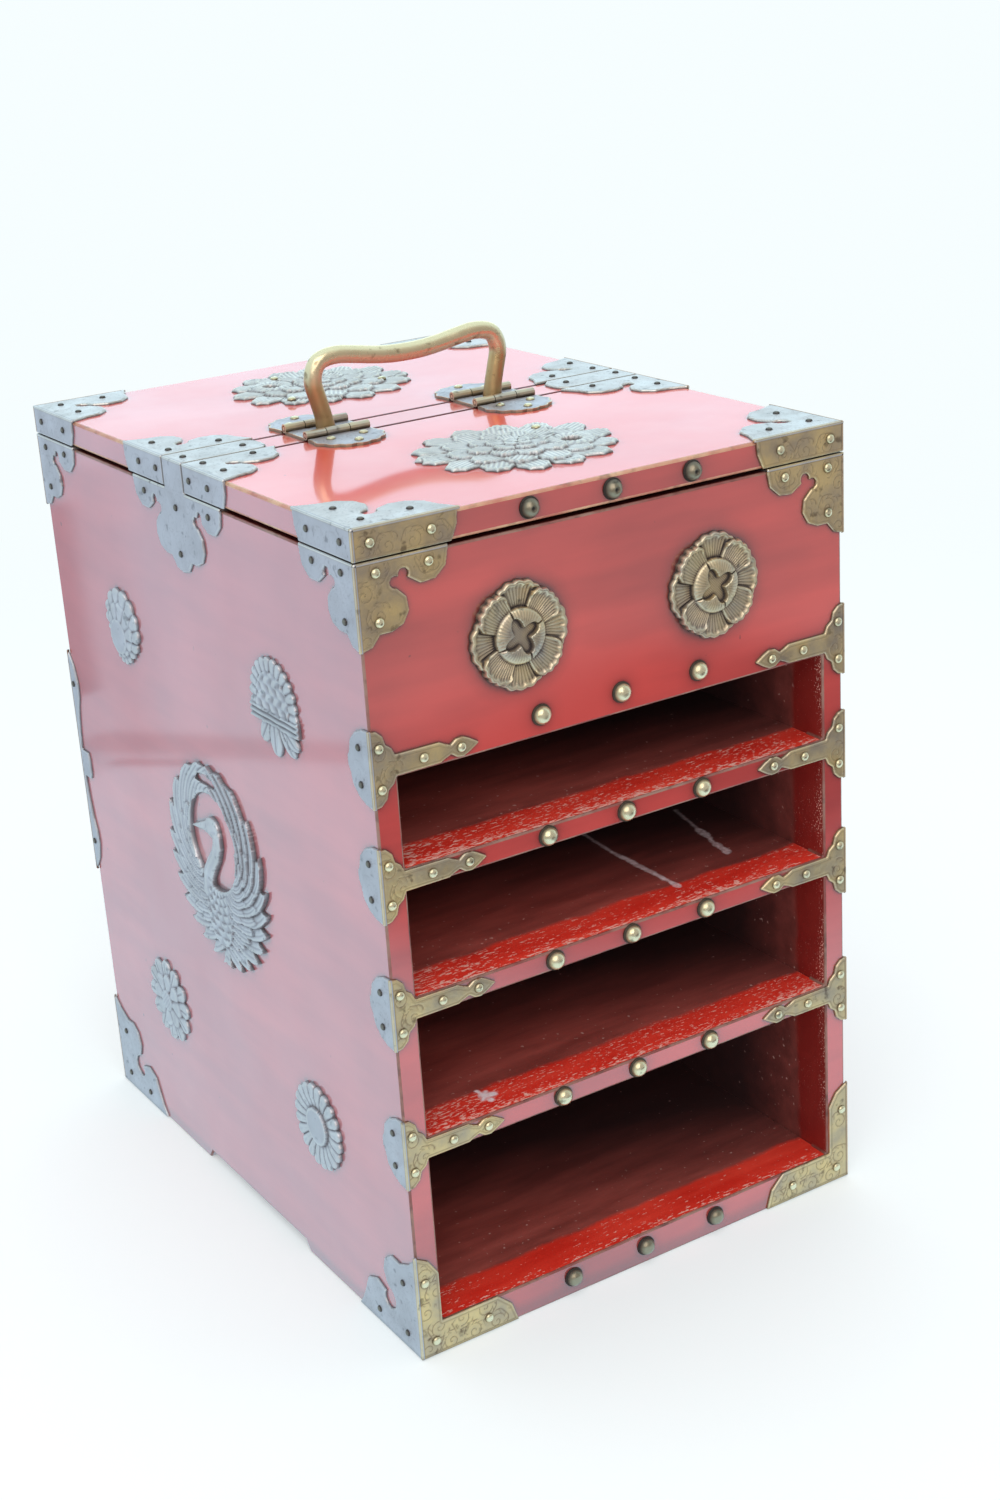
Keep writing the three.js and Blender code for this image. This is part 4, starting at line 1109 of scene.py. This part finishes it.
def daisy_shape(x, y):
    """A chrysanthemum of twenty rounded petals round a plain boss."""
    radius, angle = polar(x, y)
    lobe = np.abs(np.sin(10 * angle))
    outline = 17.3 - 1.5 * (1 - lobe) ** 1.3 - radius
    height = 0.7 + 1.1 * bumped(lobe, 1) * np.clip((radius - 6) / 6, 0.35, 1)
    height = np.where(radius < 7.6, boss(radius, 7.8, 0.35), height)
    return rounded_off(outline, height, FLOWER_LIFT, 1.4, FLOWER_TOP)


def leafy_shape(x, y):
    """A flower of twelve leafy, pointed petals in two layers."""
    radius, angle = polar(x, y)
    outer = np.abs(np.cos(6 * angle))
    inner = np.abs(np.cos(4 * angle + 0.6))
    outline = 14.6 + 3.6 * outer**0.8 - radius
    height = 0.6 + 1.0 * outer**0.6 - 0.3 * ridge(1 - outer, 0.02)
    second = 9.5 + 3.0 * inner - radius
    height = np.where(second > 0, 1.35 + 0.8 * inner**0.6 * bumped(second, 1.6), height)
    height = np.where(radius < 4.6, 2.3 + 0.1 * np.cos(3 * x) * np.cos(3 * y), height)
    return rounded_off(outline, height, FLOWER_LIFT, 1.4, FLOWER_TOP)


def fan_shape(x, y):
    """An open blossom seen from the side: a smooth boss low down with ruffled petals fanning over it."""
    radius, angle = polar(x + 2.7, y + 5.5)
    reach = 13.2 + 7.0 * np.clip(np.sin(angle + 0.25), -0.35, 1) + 2.2 * np.cos(angle)
    outer = np.abs(np.sin(9 * angle))
    inner = np.abs(np.sin(6 * angle))
    outline = reach - 1.5 * (1 - outer) - radius
    height = 0.8 + 0.9 * outer**0.6 * np.clip((radius - 5) / 7, 0.2, 1)
    second = reach * 0.68 + 0.9 * inner - radius
    height = np.where(second > 0, 1.35 + 0.6 * inner**0.6 * bumped(second, 1.8), height)
    height = np.where(radius < 7.2, boss(radius, 7.4, 0.4), height)
    return rounded_off(outline, height, FLOWER_LIFT, 1.4, FLOWER_TOP)


# The leaves under the spray: root, direction in degrees, length and width
SPRAY_LEAVES = (((-3, -4), 232, 13, 7), ((0, -4), 268, 14, 8), ((4, -4), 310, 14, 7), ((6, -5), 328, 12, 6))


def spray_shape(x, y):
    """A spray of flowers tied at the waist: a frilled round head above, pointed leaves below."""
    radius, angle = polar(x, y - 1.5)
    frill = np.abs(np.sin(12 * angle))
    outline = np.minimum(17.2 - 1.3 * (1 - frill) - radius, y + 4.2 + 1.2 * np.cos(x / 3))
    height = 0.8 + 0.8 * frill**0.6 * np.clip((radius - 8) / 5, 0.2, 1)
    ruffle = 1.5 + 0.55 * np.cos(1.05 * x + 0.6 * np.sin(0.9 * y)) * np.cos(0.95 * y)
    height = np.where(radius < 12, ruffle, height)
    waist = np.minimum(2.1 - np.abs(y + 3.9) + 0.05 * np.abs(x), 17.5 - np.abs(x))
    band = 1.7 + 0.4 * np.cos(3.0 * (y + 3.9) + 0.3 * np.sin(x / 2))
    height = np.where(waist > 0, band, height)
    outline = np.maximum(outline, waist)
    for place, direction, length, width in SPRAY_LEAVES:
        deep, _, across = petal(x, y, place, direction, length, width)
        leaf = 1.1 + 0.6 * bumped(deep, 1.6) - 0.4 * ridge(across, 0.07)
        height = np.where((deep > 0) & (waist <= 0), leaf, height)
        outline = np.maximum(outline, deep)
    return rounded_off(outline, height, FLOWER_LIFT, 1.2, FLOWER_TOP)


# The four flowers of a side: name, how far forward of the middle, height, and shape
SIDE_FLOWERS = (
    ("daisy", 65.0, 66.0, daisy_shape),
    ("leafy", -66.0, 66.0, leafy_shape),
    ("fan", -66.0, 231.0, fan_shape),
    ("spray", 64.0, 231.0, spray_shape),
)
CRANE_LEVEL = 149.0
MEDALLION_AWAY = 75.5
# Half the width and the step of the grid that each ornament is drawn on
ROSETTE_GRID = (19.4, 0.23)
CRANE_GRID = (43.0, 0.45)
FLOWER_GRID = (20.5, 0.4)
MEDALLION_GRID = (39, 0.38)


def make_ornaments():
    for sign, side in SIGNS:
        # Painted light: the pale copy of the brass on the left, the browner one on the right
        brass_kind = BRASS_SIDE if side == "left" else BRASS_REAR
        level = sign * HALF_WIDTH
        node = f"{side}_rosette"
        x, _, z = centre_of(node)
        name = f"{side}_petal_rosette"
        ornament(name, "front", (x, z), FRONT, ROSETTE_GRID, rosette_shape, CASE, BRASS_ORNAMENT, node)
        node = f"{side}_crane_roundel"
        place = (centre_of(node)[1], CRANE_LEVEL)
        ornament(f"{side}_crane", side, place, level, CRANE_GRID, crane_shape, CASE, brass_kind, node)
        for name, forward, rise, shape in SIDE_FLOWERS:
            name = f"{side}_{name}_flower"
            place = (MIDDLE - forward, rise)
            ornament(name, side, place, level, FLOWER_GRID, shape, CASE, brass_kind, flip=MIRRORED)
    for sign, (end, body) in zip((-1, 1), LIDS):
        name, node = f"{end}_peony_medallion", f"{end}_lid_medallion"
        place = (0.0, MIDDLE + sign * MEDALLION_AWAY)
        turn = TURNED_ROUND if end == "rear" else AS_DRAWN
        drawn = (LID_TOP, MEDALLION_GRID, medallion_shape)
        ornament(name, "top", place, *drawn, body, BRASS_MEDALLION, node, turn)


# Handle and hinges

HANDLE_POINTS = (
    (36.6, 308.4), (37.3, 313.5), (38.8, 319.5), (40.3, 326.2), (39.2, 331.2), (36.1, 334.1), (29.7, 335.0),
    (21.6, 333.9), (13.2, 332.5), (5.1, 331.7),
)
HANDLE_X, HANDLE_FOOT = HANDLE_POINTS[0]
HANDLE_RADIUS = 3.35
FOOT_FLARE = 0.35
SHANK_RADIUS = 2.5
SHANK_LEVELS = (308.6, 300.0, 293.2)


def catmull(points, steps):
    """A smooth line through points."""
    points = [np.array(p, float) for p in points]
    ends = [2 * points[0] - points[1]] + points + [2 * points[-1] - points[-2]]
    line = []
    for a, b, c, d in zip(ends, ends[1:], ends[2:], ends[3:]):
        for t in np.arange(steps) / steps:
            curve = 2 * b + (c - a) * t + (2 * a - 5 * b + 4 * c - d) * t**2 + (3 * b - a - 3 * c + d) * t**3
            line.append(curve / 2)
    line.append(points[-1])
    return np.array(line)


def bands(rings, segments):
    """Faces between rings of points that follow one another."""
    faces = []
    for first in range(0, (rings - 1) * segments, segments):
        for k in range(segments):
            a, b = first + k, first + (k + 1) % segments
            faces.append([a, b, b + segments, a + segments])
    return faces


def tube(line, radii, segments):
    """A round rod along a line that stays in a plane across y, closed at both ends."""
    line = np.asarray(line, float)
    side = np.array((0.0, 1.0, 0.0))
    points = []
    for i, here in enumerate(line):
        run = line[min(i + 1, len(line) - 1)] - line[max(i - 1, 0)]
        up = np.cross(side, run / np.linalg.norm(run))
        for k in range(segments):
            angle = 2 * math.pi * k / segments
            points.append(here + radii[i] * (math.cos(angle) * side + math.sin(angle) * up))
    faces = [[a, d, c, b] for a, b, c, d in bands(len(line), segments)]
    last = (len(line) - 1) * segments
    faces.append(list(range(segments)))
    faces.append(list(range(last, last + segments))[::-1])
    return points, faces


def make_handle():
    half = [(x, MIDDLE, z) for x, z in HANDLE_POINTS]
    line = catmull(half + [(-x, y, z) for x, y, z in reversed(half)], 8)
    radii = [HANDLE_RADIUS + FOOT_FLARE * max(0.0, 1 - (z - HANDLE_FOOT) / 5) for z in line[:, 2]]
    parts = Parts()
    points, faces = tube(line, radii, 24)
    # Grooves that darken the handle towards its feet and leave the bar bare, so the bar alone gets the
    # painted highlight
    parts.add(points, faces, np.clip([0.5 - (point[2] - 309) / 40 for point in points], 0, 0.5))
    for sign, _ in SIGNS:
        shank = [(sign * HANDLE_X, MIDDLE, z) for z in SHANK_LEVELS]
        parts.add(*tube(shank, [SHANK_RADIUS] * len(shank), 16))
    parts.piece("brass_handle", [BRASS_HANDLE], CASE, "carrying_handle", "handle_brass")


SCALLOP = 0.55
LEAF_SCALLOPS = 26
LEAF_LIFT = 0.12
LEAF_FOLD = (0.5, 0.6)


def scalloped(depth, middle):
    """The same depth inside an outline, with the rim cut into small scallops."""

    def inside(across, up):
        angle = np.arctan2(up - middle[1], across - middle[0])
        return depth(across, up) - SCALLOP * (1 - np.abs(np.sin(LEAF_SCALLOPS * angle / 2)))

    return inside


def chased_leaf(node, body):
    parts = Parts()
    faces = flat_faces(node, "top")
    level = min(faces)
    relief = sheet_relief(faces[level], 0.4, 0.5, scalloped, LEAF_FOLD, 0.1 - PLATE)
    add_relief(parts, "top", level + LEAF_LIFT, relief)
    parts.piece(f"{node}_chasing", [BRASS_SIDE], body)


def make_hinges():
    """Scalloped leaves and plates, with the knuckles and pins of the CAD nodes left in place."""
    for _, side in SIGNS:
        for end, lid in LIDS:
            chased_leaf(f"{end}_{side}_hinge_leaf", lid)
        chased_leaf(f"{side}_hinge_plate", CASE)


def dress_frame():
    """A finish for the CAD nodes that stay: hinge plates, leaves, pins and washers."""
    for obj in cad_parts.values():
        if not obj.hide_render:
            obj.data.materials.clear()
            obj.data.materials.append(BRASS_ORNAMENT)


# Studs and rivets

# Profiles of radius, height and groove
STUD_PROFILE = (
    (3.8, -0.3, 1.0), (3.8, 0.35, 1.0), (3.65, 0.6, 0.95), (3.4, 0.62, 1.0), (3.3, 0.8, 0.9),
    (3.15, 1.5, 0.45), (2.7, 2.2, 0.12), (2.0, 2.75, 0.0), (1.2, 3.08, 0.0), (0.4, 3.19, 0.0), (0, 3.2, 0.0),
)
WORN_PROFILE = STUD_PROFILE[:-2] + ((1.2, 3.05, 0.05), (0.75, 2.95, 0.5), (0.45, 2.6, 1.0), (0, 2.5, 1.0))
RIVET_PROFILE = (
    (1.75, -0.3, 0.9), (1.75, 0.25, 0.5), (1.55, 0.6, 0.1), (1.1, 0.9, 0.0), (0.55, 1.02, 0.0), (0, 1.05, 0.0)
)
STUD_PLACES = (-33.2, 0.0, 33.2)
RAIL_STUD_LEVEL = 7.4
PANEL_STUD_RISE = 7.6
STUD_SEGMENTS = 28
RIVET_SEGMENTS = 16
DARK_RIVET_SIZE = 0.72
BRIGHT, DARK = 0, 1


def add_lathe(parts, side, level, centre, profile, slot, segments):
    """A round form over a flat face, from a profile that ends on its axis."""
    points, grooves = [], []
    for radius, height, groove in profile[:-1]:
        for k in range(segments):
            angle = 2 * math.pi * k / segments
            x, y = radius * math.cos(angle), radius * math.sin(angle)
            points.append((centre[0] + x, centre[1] + y, height))
            grooves.append(groove)
    top = len(points)
    points.append((*centre, profile[-1][1]))
    grooves.append(profile[-1][2])
    faces = bands(len(profile) - 1, segments)
    faces += [[top - segments + k, top - segments + (k + 1) % segments, top] for k in range(segments)]
    faces.append(list(range(segments))[::-1])
    add_relief(parts, side, level, (np.array(points), faces, grooves), slot)


def make_studs():
    levels = [limits("front_panel")[0][2] + PANEL_STUD_RISE, RAIL_STUD_LEVEL]
    levels += [centre_of(node)[2] for node in reversed(SHELVES)]
    case, lid = Parts(), Parts()
    for level in levels:
        slot = DARK if level == RAIL_STUD_LEVEL else BRIGHT
        for x in STUD_PLACES:
            add_lathe(case, "front", FRONT, (x, level), STUD_PROFILE, slot, STUD_SEGMENTS)
    lid_level = centre_of("front_lid_board")[2]
    for x in STUD_PLACES:
        add_lathe(lid, "front", FRONT, (x, lid_level), WORN_PROFILE, 0, STUD_SEGMENTS)
    case.piece("front_studs", [BRASS_STUD, BRASS_WORN_STUD], CASE)
    lid.piece("lid_studs", [BRASS_WORN_STUD], FRONT_LID)


def rivet(parts, face, place, slot=DARK):
    """A small domed rivet on a face, at a place in mm. The dark ones are smaller, and their dark brass is
    painted shade.
    """
    axis, _, u, v, _ = SIDES[face]
    size = 1.0 if slot == BRIGHT else DARK_RIVET_SIZE
    profile = [(size * radius, size * height, groove) for radius, height, groove in RIVET_PROFILE]
    add_lathe(parts, face, place[axis], (place[u], place[v]), profile, slot, RIVET_SEGMENTS)


OUTSIDE = HALF_WIDTH + PLATE
HALF_DEPTH = MIDDLE - FRONT + PLATE
RIM = CASE_TOP + PLATE
LID_RIM = LID_TOP + PLATE
LID_EDGE = (LID_LOW + LID_RIM) / 2
MEDALLION_RIVET_LEVEL = LID_TOP + 1.6
# Rivets of the corner mounts, as places inward from the folded corner: across, along, level
CORNER_END_RIVETS = ((7.7, 0, RIM - 4.3), (27.2, 0, RIM - 4.2), (7.7, 0, RIM - 20.6))
CORNER_SIDE_RIVETS = ((0, 8.7, RIM - 4.3), (0, 28.0, RIM - 4.2), (0, 8.7, RIM - 20.6))
FOOT_END_RIVETS = {
    "front": ((3.5, 0, 31.6), (6.3, 0, 6.3), (28.8, 0, 6.4)),
    "rear": ((10.0, 0, 28.0), (30.0, 0, 6.0), (9.5, 0, 7.0)),
}
FOOT_SIDE_RIVETS = ((0, 10.0, 28.0), (0, 30.0, 6.0), (0, 9.5, 7.0))
LID_END_RIVETS = ((6.5, 0, LID_EDGE), (29.0, 0, LID_EDGE))
LID_SIDE_RIVETS = tuple((0, along, LID_EDGE) for along in (7.7, 30.0, HALF_DEPTH - 14.0, HALF_DEPTH - 29.0))
LID_CORNER_RIVETS = ((8.7, 8.7, LID_RIM), (8.7, 26.8, LID_RIM), (26.8, 8.7, LID_RIM))
LID_INNER_RIVETS = (
    (6.0, HALF_DEPTH - 14.5, LID_RIM), (6.5, HALF_DEPTH - 30.0, LID_RIM), (26.0, HALF_DEPTH - 14.0, LID_RIM)
)
# Rivets of the brackets, in from the side or the front and up from the middle
BRACKET_FRONT_RIVETS = ((3.5, 7.1), (3.5, -7.1), (19.9, 0.0), (34.4, 0.0))
BRACKET_SIDE_RIVETS = ((7.5, 6.5), (7.5, -6.5))
# Rivets of the rear edge mounts: how far in, and their levels
REAR_EDGE_INSET = 3.2
REAR_EDGE_LEVELS = (190.0, 118.0)
# Rivets of the bar's end mounts: how far in on top, then places along the side and up
BAR_TOP_RIVETS = (5.0, 28.9)
PENDANT_RIVETS = ((-27.0, 292.2), (27.0, 292.2), (0.0, 290.6), (0.0, 273.3))
# Rivets of the hinge leaves, across from the handle's foot and out from the middle
LEAF_RIVETS = ((-6.8, 16.3), (6.8, 16.3), (0.0, 25.0))
# Rivets of the medallions: the lid, across, and forward or back from the middle
MEDALLION_RIVETS = ((FRONT_LID, 17, -60), (REAR_LID, -8, 97), (REAR_LID, -22, 55), (REAR_LID, 23, 62))


def corner_rivets(parts, sign, side, end, lid):
    """The rivets of the case, foot and lid mounts of one corner."""
    corner, inward = (FRONT - PLATE, 1) if end == "front" else (REAR + PLATE, -1)
    end_slot = BRIGHT if end == "front" else DARK
    for body, face, slot, places in (
        (CASE, end, end_slot, CORNER_END_RIVETS + FOOT_END_RIVETS[end]),
        (CASE, side, DARK, CORNER_SIDE_RIVETS + FOOT_SIDE_RIVETS),
        (lid, end, end_slot, LID_END_RIVETS),
        (lid, side, DARK, LID_SIDE_RIVETS),
        (lid, "top", DARK, LID_CORNER_RIVETS + LID_INNER_RIVETS),
    ):
        for across, along, level in places:
            rivet(parts[body], face, (sign * (OUTSIDE - across), corner + inward * along, level), slot)


def side_rivets(parts, sign, side):
    """The rivets of the brackets, the rear edge mount, the bar's end and the hinge leaves of one side."""
    case = parts[CASE]
    outer = sign * OUTSIDE
    for board_name in ("panel", *SHELVES):
        level = centre_of(f"{side}_{board_name}_bracket")[2]
        for inset, rise in BRACKET_FRONT_RIVETS:
            rivet(case, "front", (sign * (OUTSIDE - inset), FRONT - PLATE, level + rise), BRIGHT)
        for inset, rise in BRACKET_SIDE_RIVETS:
            rivet(case, side, (outer, FRONT - PLATE + inset, level + rise))
    for level in REAR_EDGE_LEVELS:
        rivet(case, side, (outer, REAR + PLATE - REAR_EDGE_INSET, level))
        rivet(case, "rear", (sign * (OUTSIDE - REAR_EDGE_INSET), REAR + PLATE, level))
    for inset in BAR_TOP_RIVETS:
        rivet(case, "top", (sign * (OUTSIDE - inset), MIDDLE, LID_RIM))
    for along, level in PENDANT_RIVETS:
        rivet(case, side, (outer, MIDDLE + along, level))
    for across, out in LEAF_RIVETS:
        x = sign * HANDLE_X + across
        rivet(parts[FRONT_LID], "top", (x, MIDDLE - out, LID_RIM), BRIGHT)
        rivet(parts[REAR_LID], "top", (x, MIDDLE + out, LID_RIM), BRIGHT)


def make_rivets():
    """The small domed rivets of the mounts."""
    parts = {CASE: Parts(), FRONT_LID: Parts(), REAR_LID: Parts()}
    for sign, side in SIGNS:
        for end, lid in LIDS:
            corner_rivets(parts, sign, side, end, lid)
        side_rivets(parts, sign, side)
    for lid, x, along in MEDALLION_RIVETS:
        rivet(parts[lid], "top", (x, MIDDLE + along, MEDALLION_RIVET_LEVEL), BRIGHT)
    for name, body in (("case", CASE), ("front_lid", FRONT_LID), ("rear_lid", REAR_LID)):
        parts[body].piece(f"{name}_rivets", [BRASS_STUD, BRASS_SHADED_RIVET], body)


# Studio


def area_light(name, place, target, size, power, colour=(1, 1, 1), mirrored=True):
    data = bpy.data.lights.new(name, "AREA")
    data.shape = "RECTANGLE"
    data.size, data.size_y = size
    data.energy = power
    data.color = colour
    lamp = new_object(name, data)
    lamp.visible_camera = False
    lamp.visible_glossy = mirrored
    lamp.location = Vector(place)
    lamp.rotation_euler = (Vector(target) - Vector(place)).to_track_quat("-Z", "Y").to_euler()


SKY = (0.93, 0.97, 1.0, 1.0)
SKY_STRENGTH = 0.68
GROUND = (0.96, 1.0, 1.0, 1.0)
WHITE = (0.925, 0.99, 1.0, 1.0)
MIRRORED_WHITE = (0.72, 0.98, 1.13, 1.0)
MIRRORED_FAR = (0.72, 0.94, 1.11, 1.0)
MIRRORED_ROOM = (0.40, 0.42, 0.43, 1.0)
MIRRORED_DARK = (0.05, 0.03, 0.04, 1.0)
# Dark streaks that only mirrors see, painted reflections on the polished boards, laid on the floor: from, to,
# how wide, in metres, how dark
PAINTED_REFLECTION_STREAKS = (
    ((-0.27, 0.55), (-0.40, 0.40), 0.026, 0.35),
    ((-0.26, 0.51), (-0.295, 0.478), 0.008, 0.5),
    ((-0.53, 1.26), (-0.26, 0.545), 0.06, 0.2),
    ((-0.48, 1.16), (-0.295, 0.66), 0.02, 0.6),
    ((-0.47, 1.28), (-0.31, 0.78), 0.02, 0.5),
    ((0.22, -0.50), (0.40, -0.56), 0.24, 1.0),
)
FLOOR_HALF = 8.0
TABLE_EDGE = (-0.75, -0.4)
NEAR_FLOOR = (0.35, 1.1)


def show(n, light, seen, mirror, output):
    """Gives each kind of ray its own shader: what lights the object, what camera and mirrors see."""
    path = n.node("ShaderNodeLightPath").outputs
    result = n.shade(path["Is Camera Ray"], light, seen)
    mirrored = n.math("MAXIMUM", path["Is Glossy Ray"], path["Is Transmission Ray"])
    result = n.shade(mirrored, result, mirror)
    n.feed(n.tree.nodes[output].inputs["Surface"], result)


def make_world():
    world = bpy.data.worlds.new("studio")
    bpy.context.scene.world = world
    n = Nodes(world)
    light = n.tree.nodes["Background"]
    light.inputs["Color"].default_value = SKY
    light.inputs["Strength"].default_value = SKY_STRENGTH
    direction = n.axes(n.node("ShaderNodeTexCoord").outputs["Generated"])
    toward_rear = n.ramp(direction[1], -0.75, -0.1, kind="SMOOTHSTEP")
    mirror = n.node("ShaderNodeBackground", {"Color": n.mix(toward_rear, MIRRORED_ROOM, MIRRORED_WHITE)})
    seen = n.node("ShaderNodeBackground", {"Color": WHITE})
    show(n, light.outputs[0], seen.outputs[0], mirror.outputs[0], "World Output")


def make_floor():
    """A pale floor. It keeps the object's shadow, fades into the white of the backdrop, and mirrors see it
    white up to the edge of the table in front, crossed by dark streaks that only mirrors see: painted
    reflections."""
    mesh = bpy.data.meshes.new("floor")
    corners = [(x * FLOOR_HALF, y * FLOOR_HALF, 0) for x, y in ((-1, -1), (1, -1), (1, 1), (-1, 1))]
    mesh.from_pydata(corners, [], [(0, 1, 2, 3)])
    floor = new_object("floor", mesh)
    n = new_material("white_ground")
    n.set(Base_Color=GROUND, Roughness=0.9, Specular_IOR_Level=0.0)
    lit = n.shader.outputs[0]
    distance = n.vector("LENGTH", {0: n.place}, "Value")
    away = n.ramp(distance, 0.25, 1.0, kind="SMOOTHSTEP")
    on_table = n.ramp(n.axes()[1], *TABLE_EDGE, kind="SMOOTHSTEP")
    colour = n.mix(on_table, MIRRORED_ROOM, n.mix(away, MIRRORED_WHITE, MIRRORED_FAR))
    # Painted reflections: dark streaks that only mirrors see
    for start, end, width, strength in PAINTED_REFLECTION_STREAKS:
        near = n.ramp(n.from_line((*start, 0), (*end, 0)), width, 0.4 * width, 0.0, strength, "SMOOTHSTEP")
        colour = n.mix(near, colour, MIRRORED_DARK)
    white = n.emission(WHITE)
    far = n.ramp(distance, *NEAR_FLOOR, kind="SMOOTHSTEP")
    seen = n.shade(far, n.shade(0.35, lit, white), white)
    show(n, lit, seen, n.emission(colour), "Material Output")
    mesh.materials.append(n.owner)


def make_studio():
    bpy.context.scene.view_settings.view_transform = "Standard"
    make_world()
    make_floor()
    area_light("key", (-0.9, -1.7, 1.7), (0, 0, 0.15), (2.4, 2.4), 28)
    area_light("overhead", (0, 0.1, 2.2), (0, 0, 0.3), (1.6, 1.6), 14, mirrored=False)
    area_light("back", (1.05, 1.8, 0.85), (0, 0, 0.3), (2.2, 1.5), 6, (0.66, 0.9, 1.0))


make_camera()
make_boards()
make_mounts()
make_ornaments()
make_studs()
make_rivets()
make_handle()
make_hinges()
dress_frame()
make_studio()
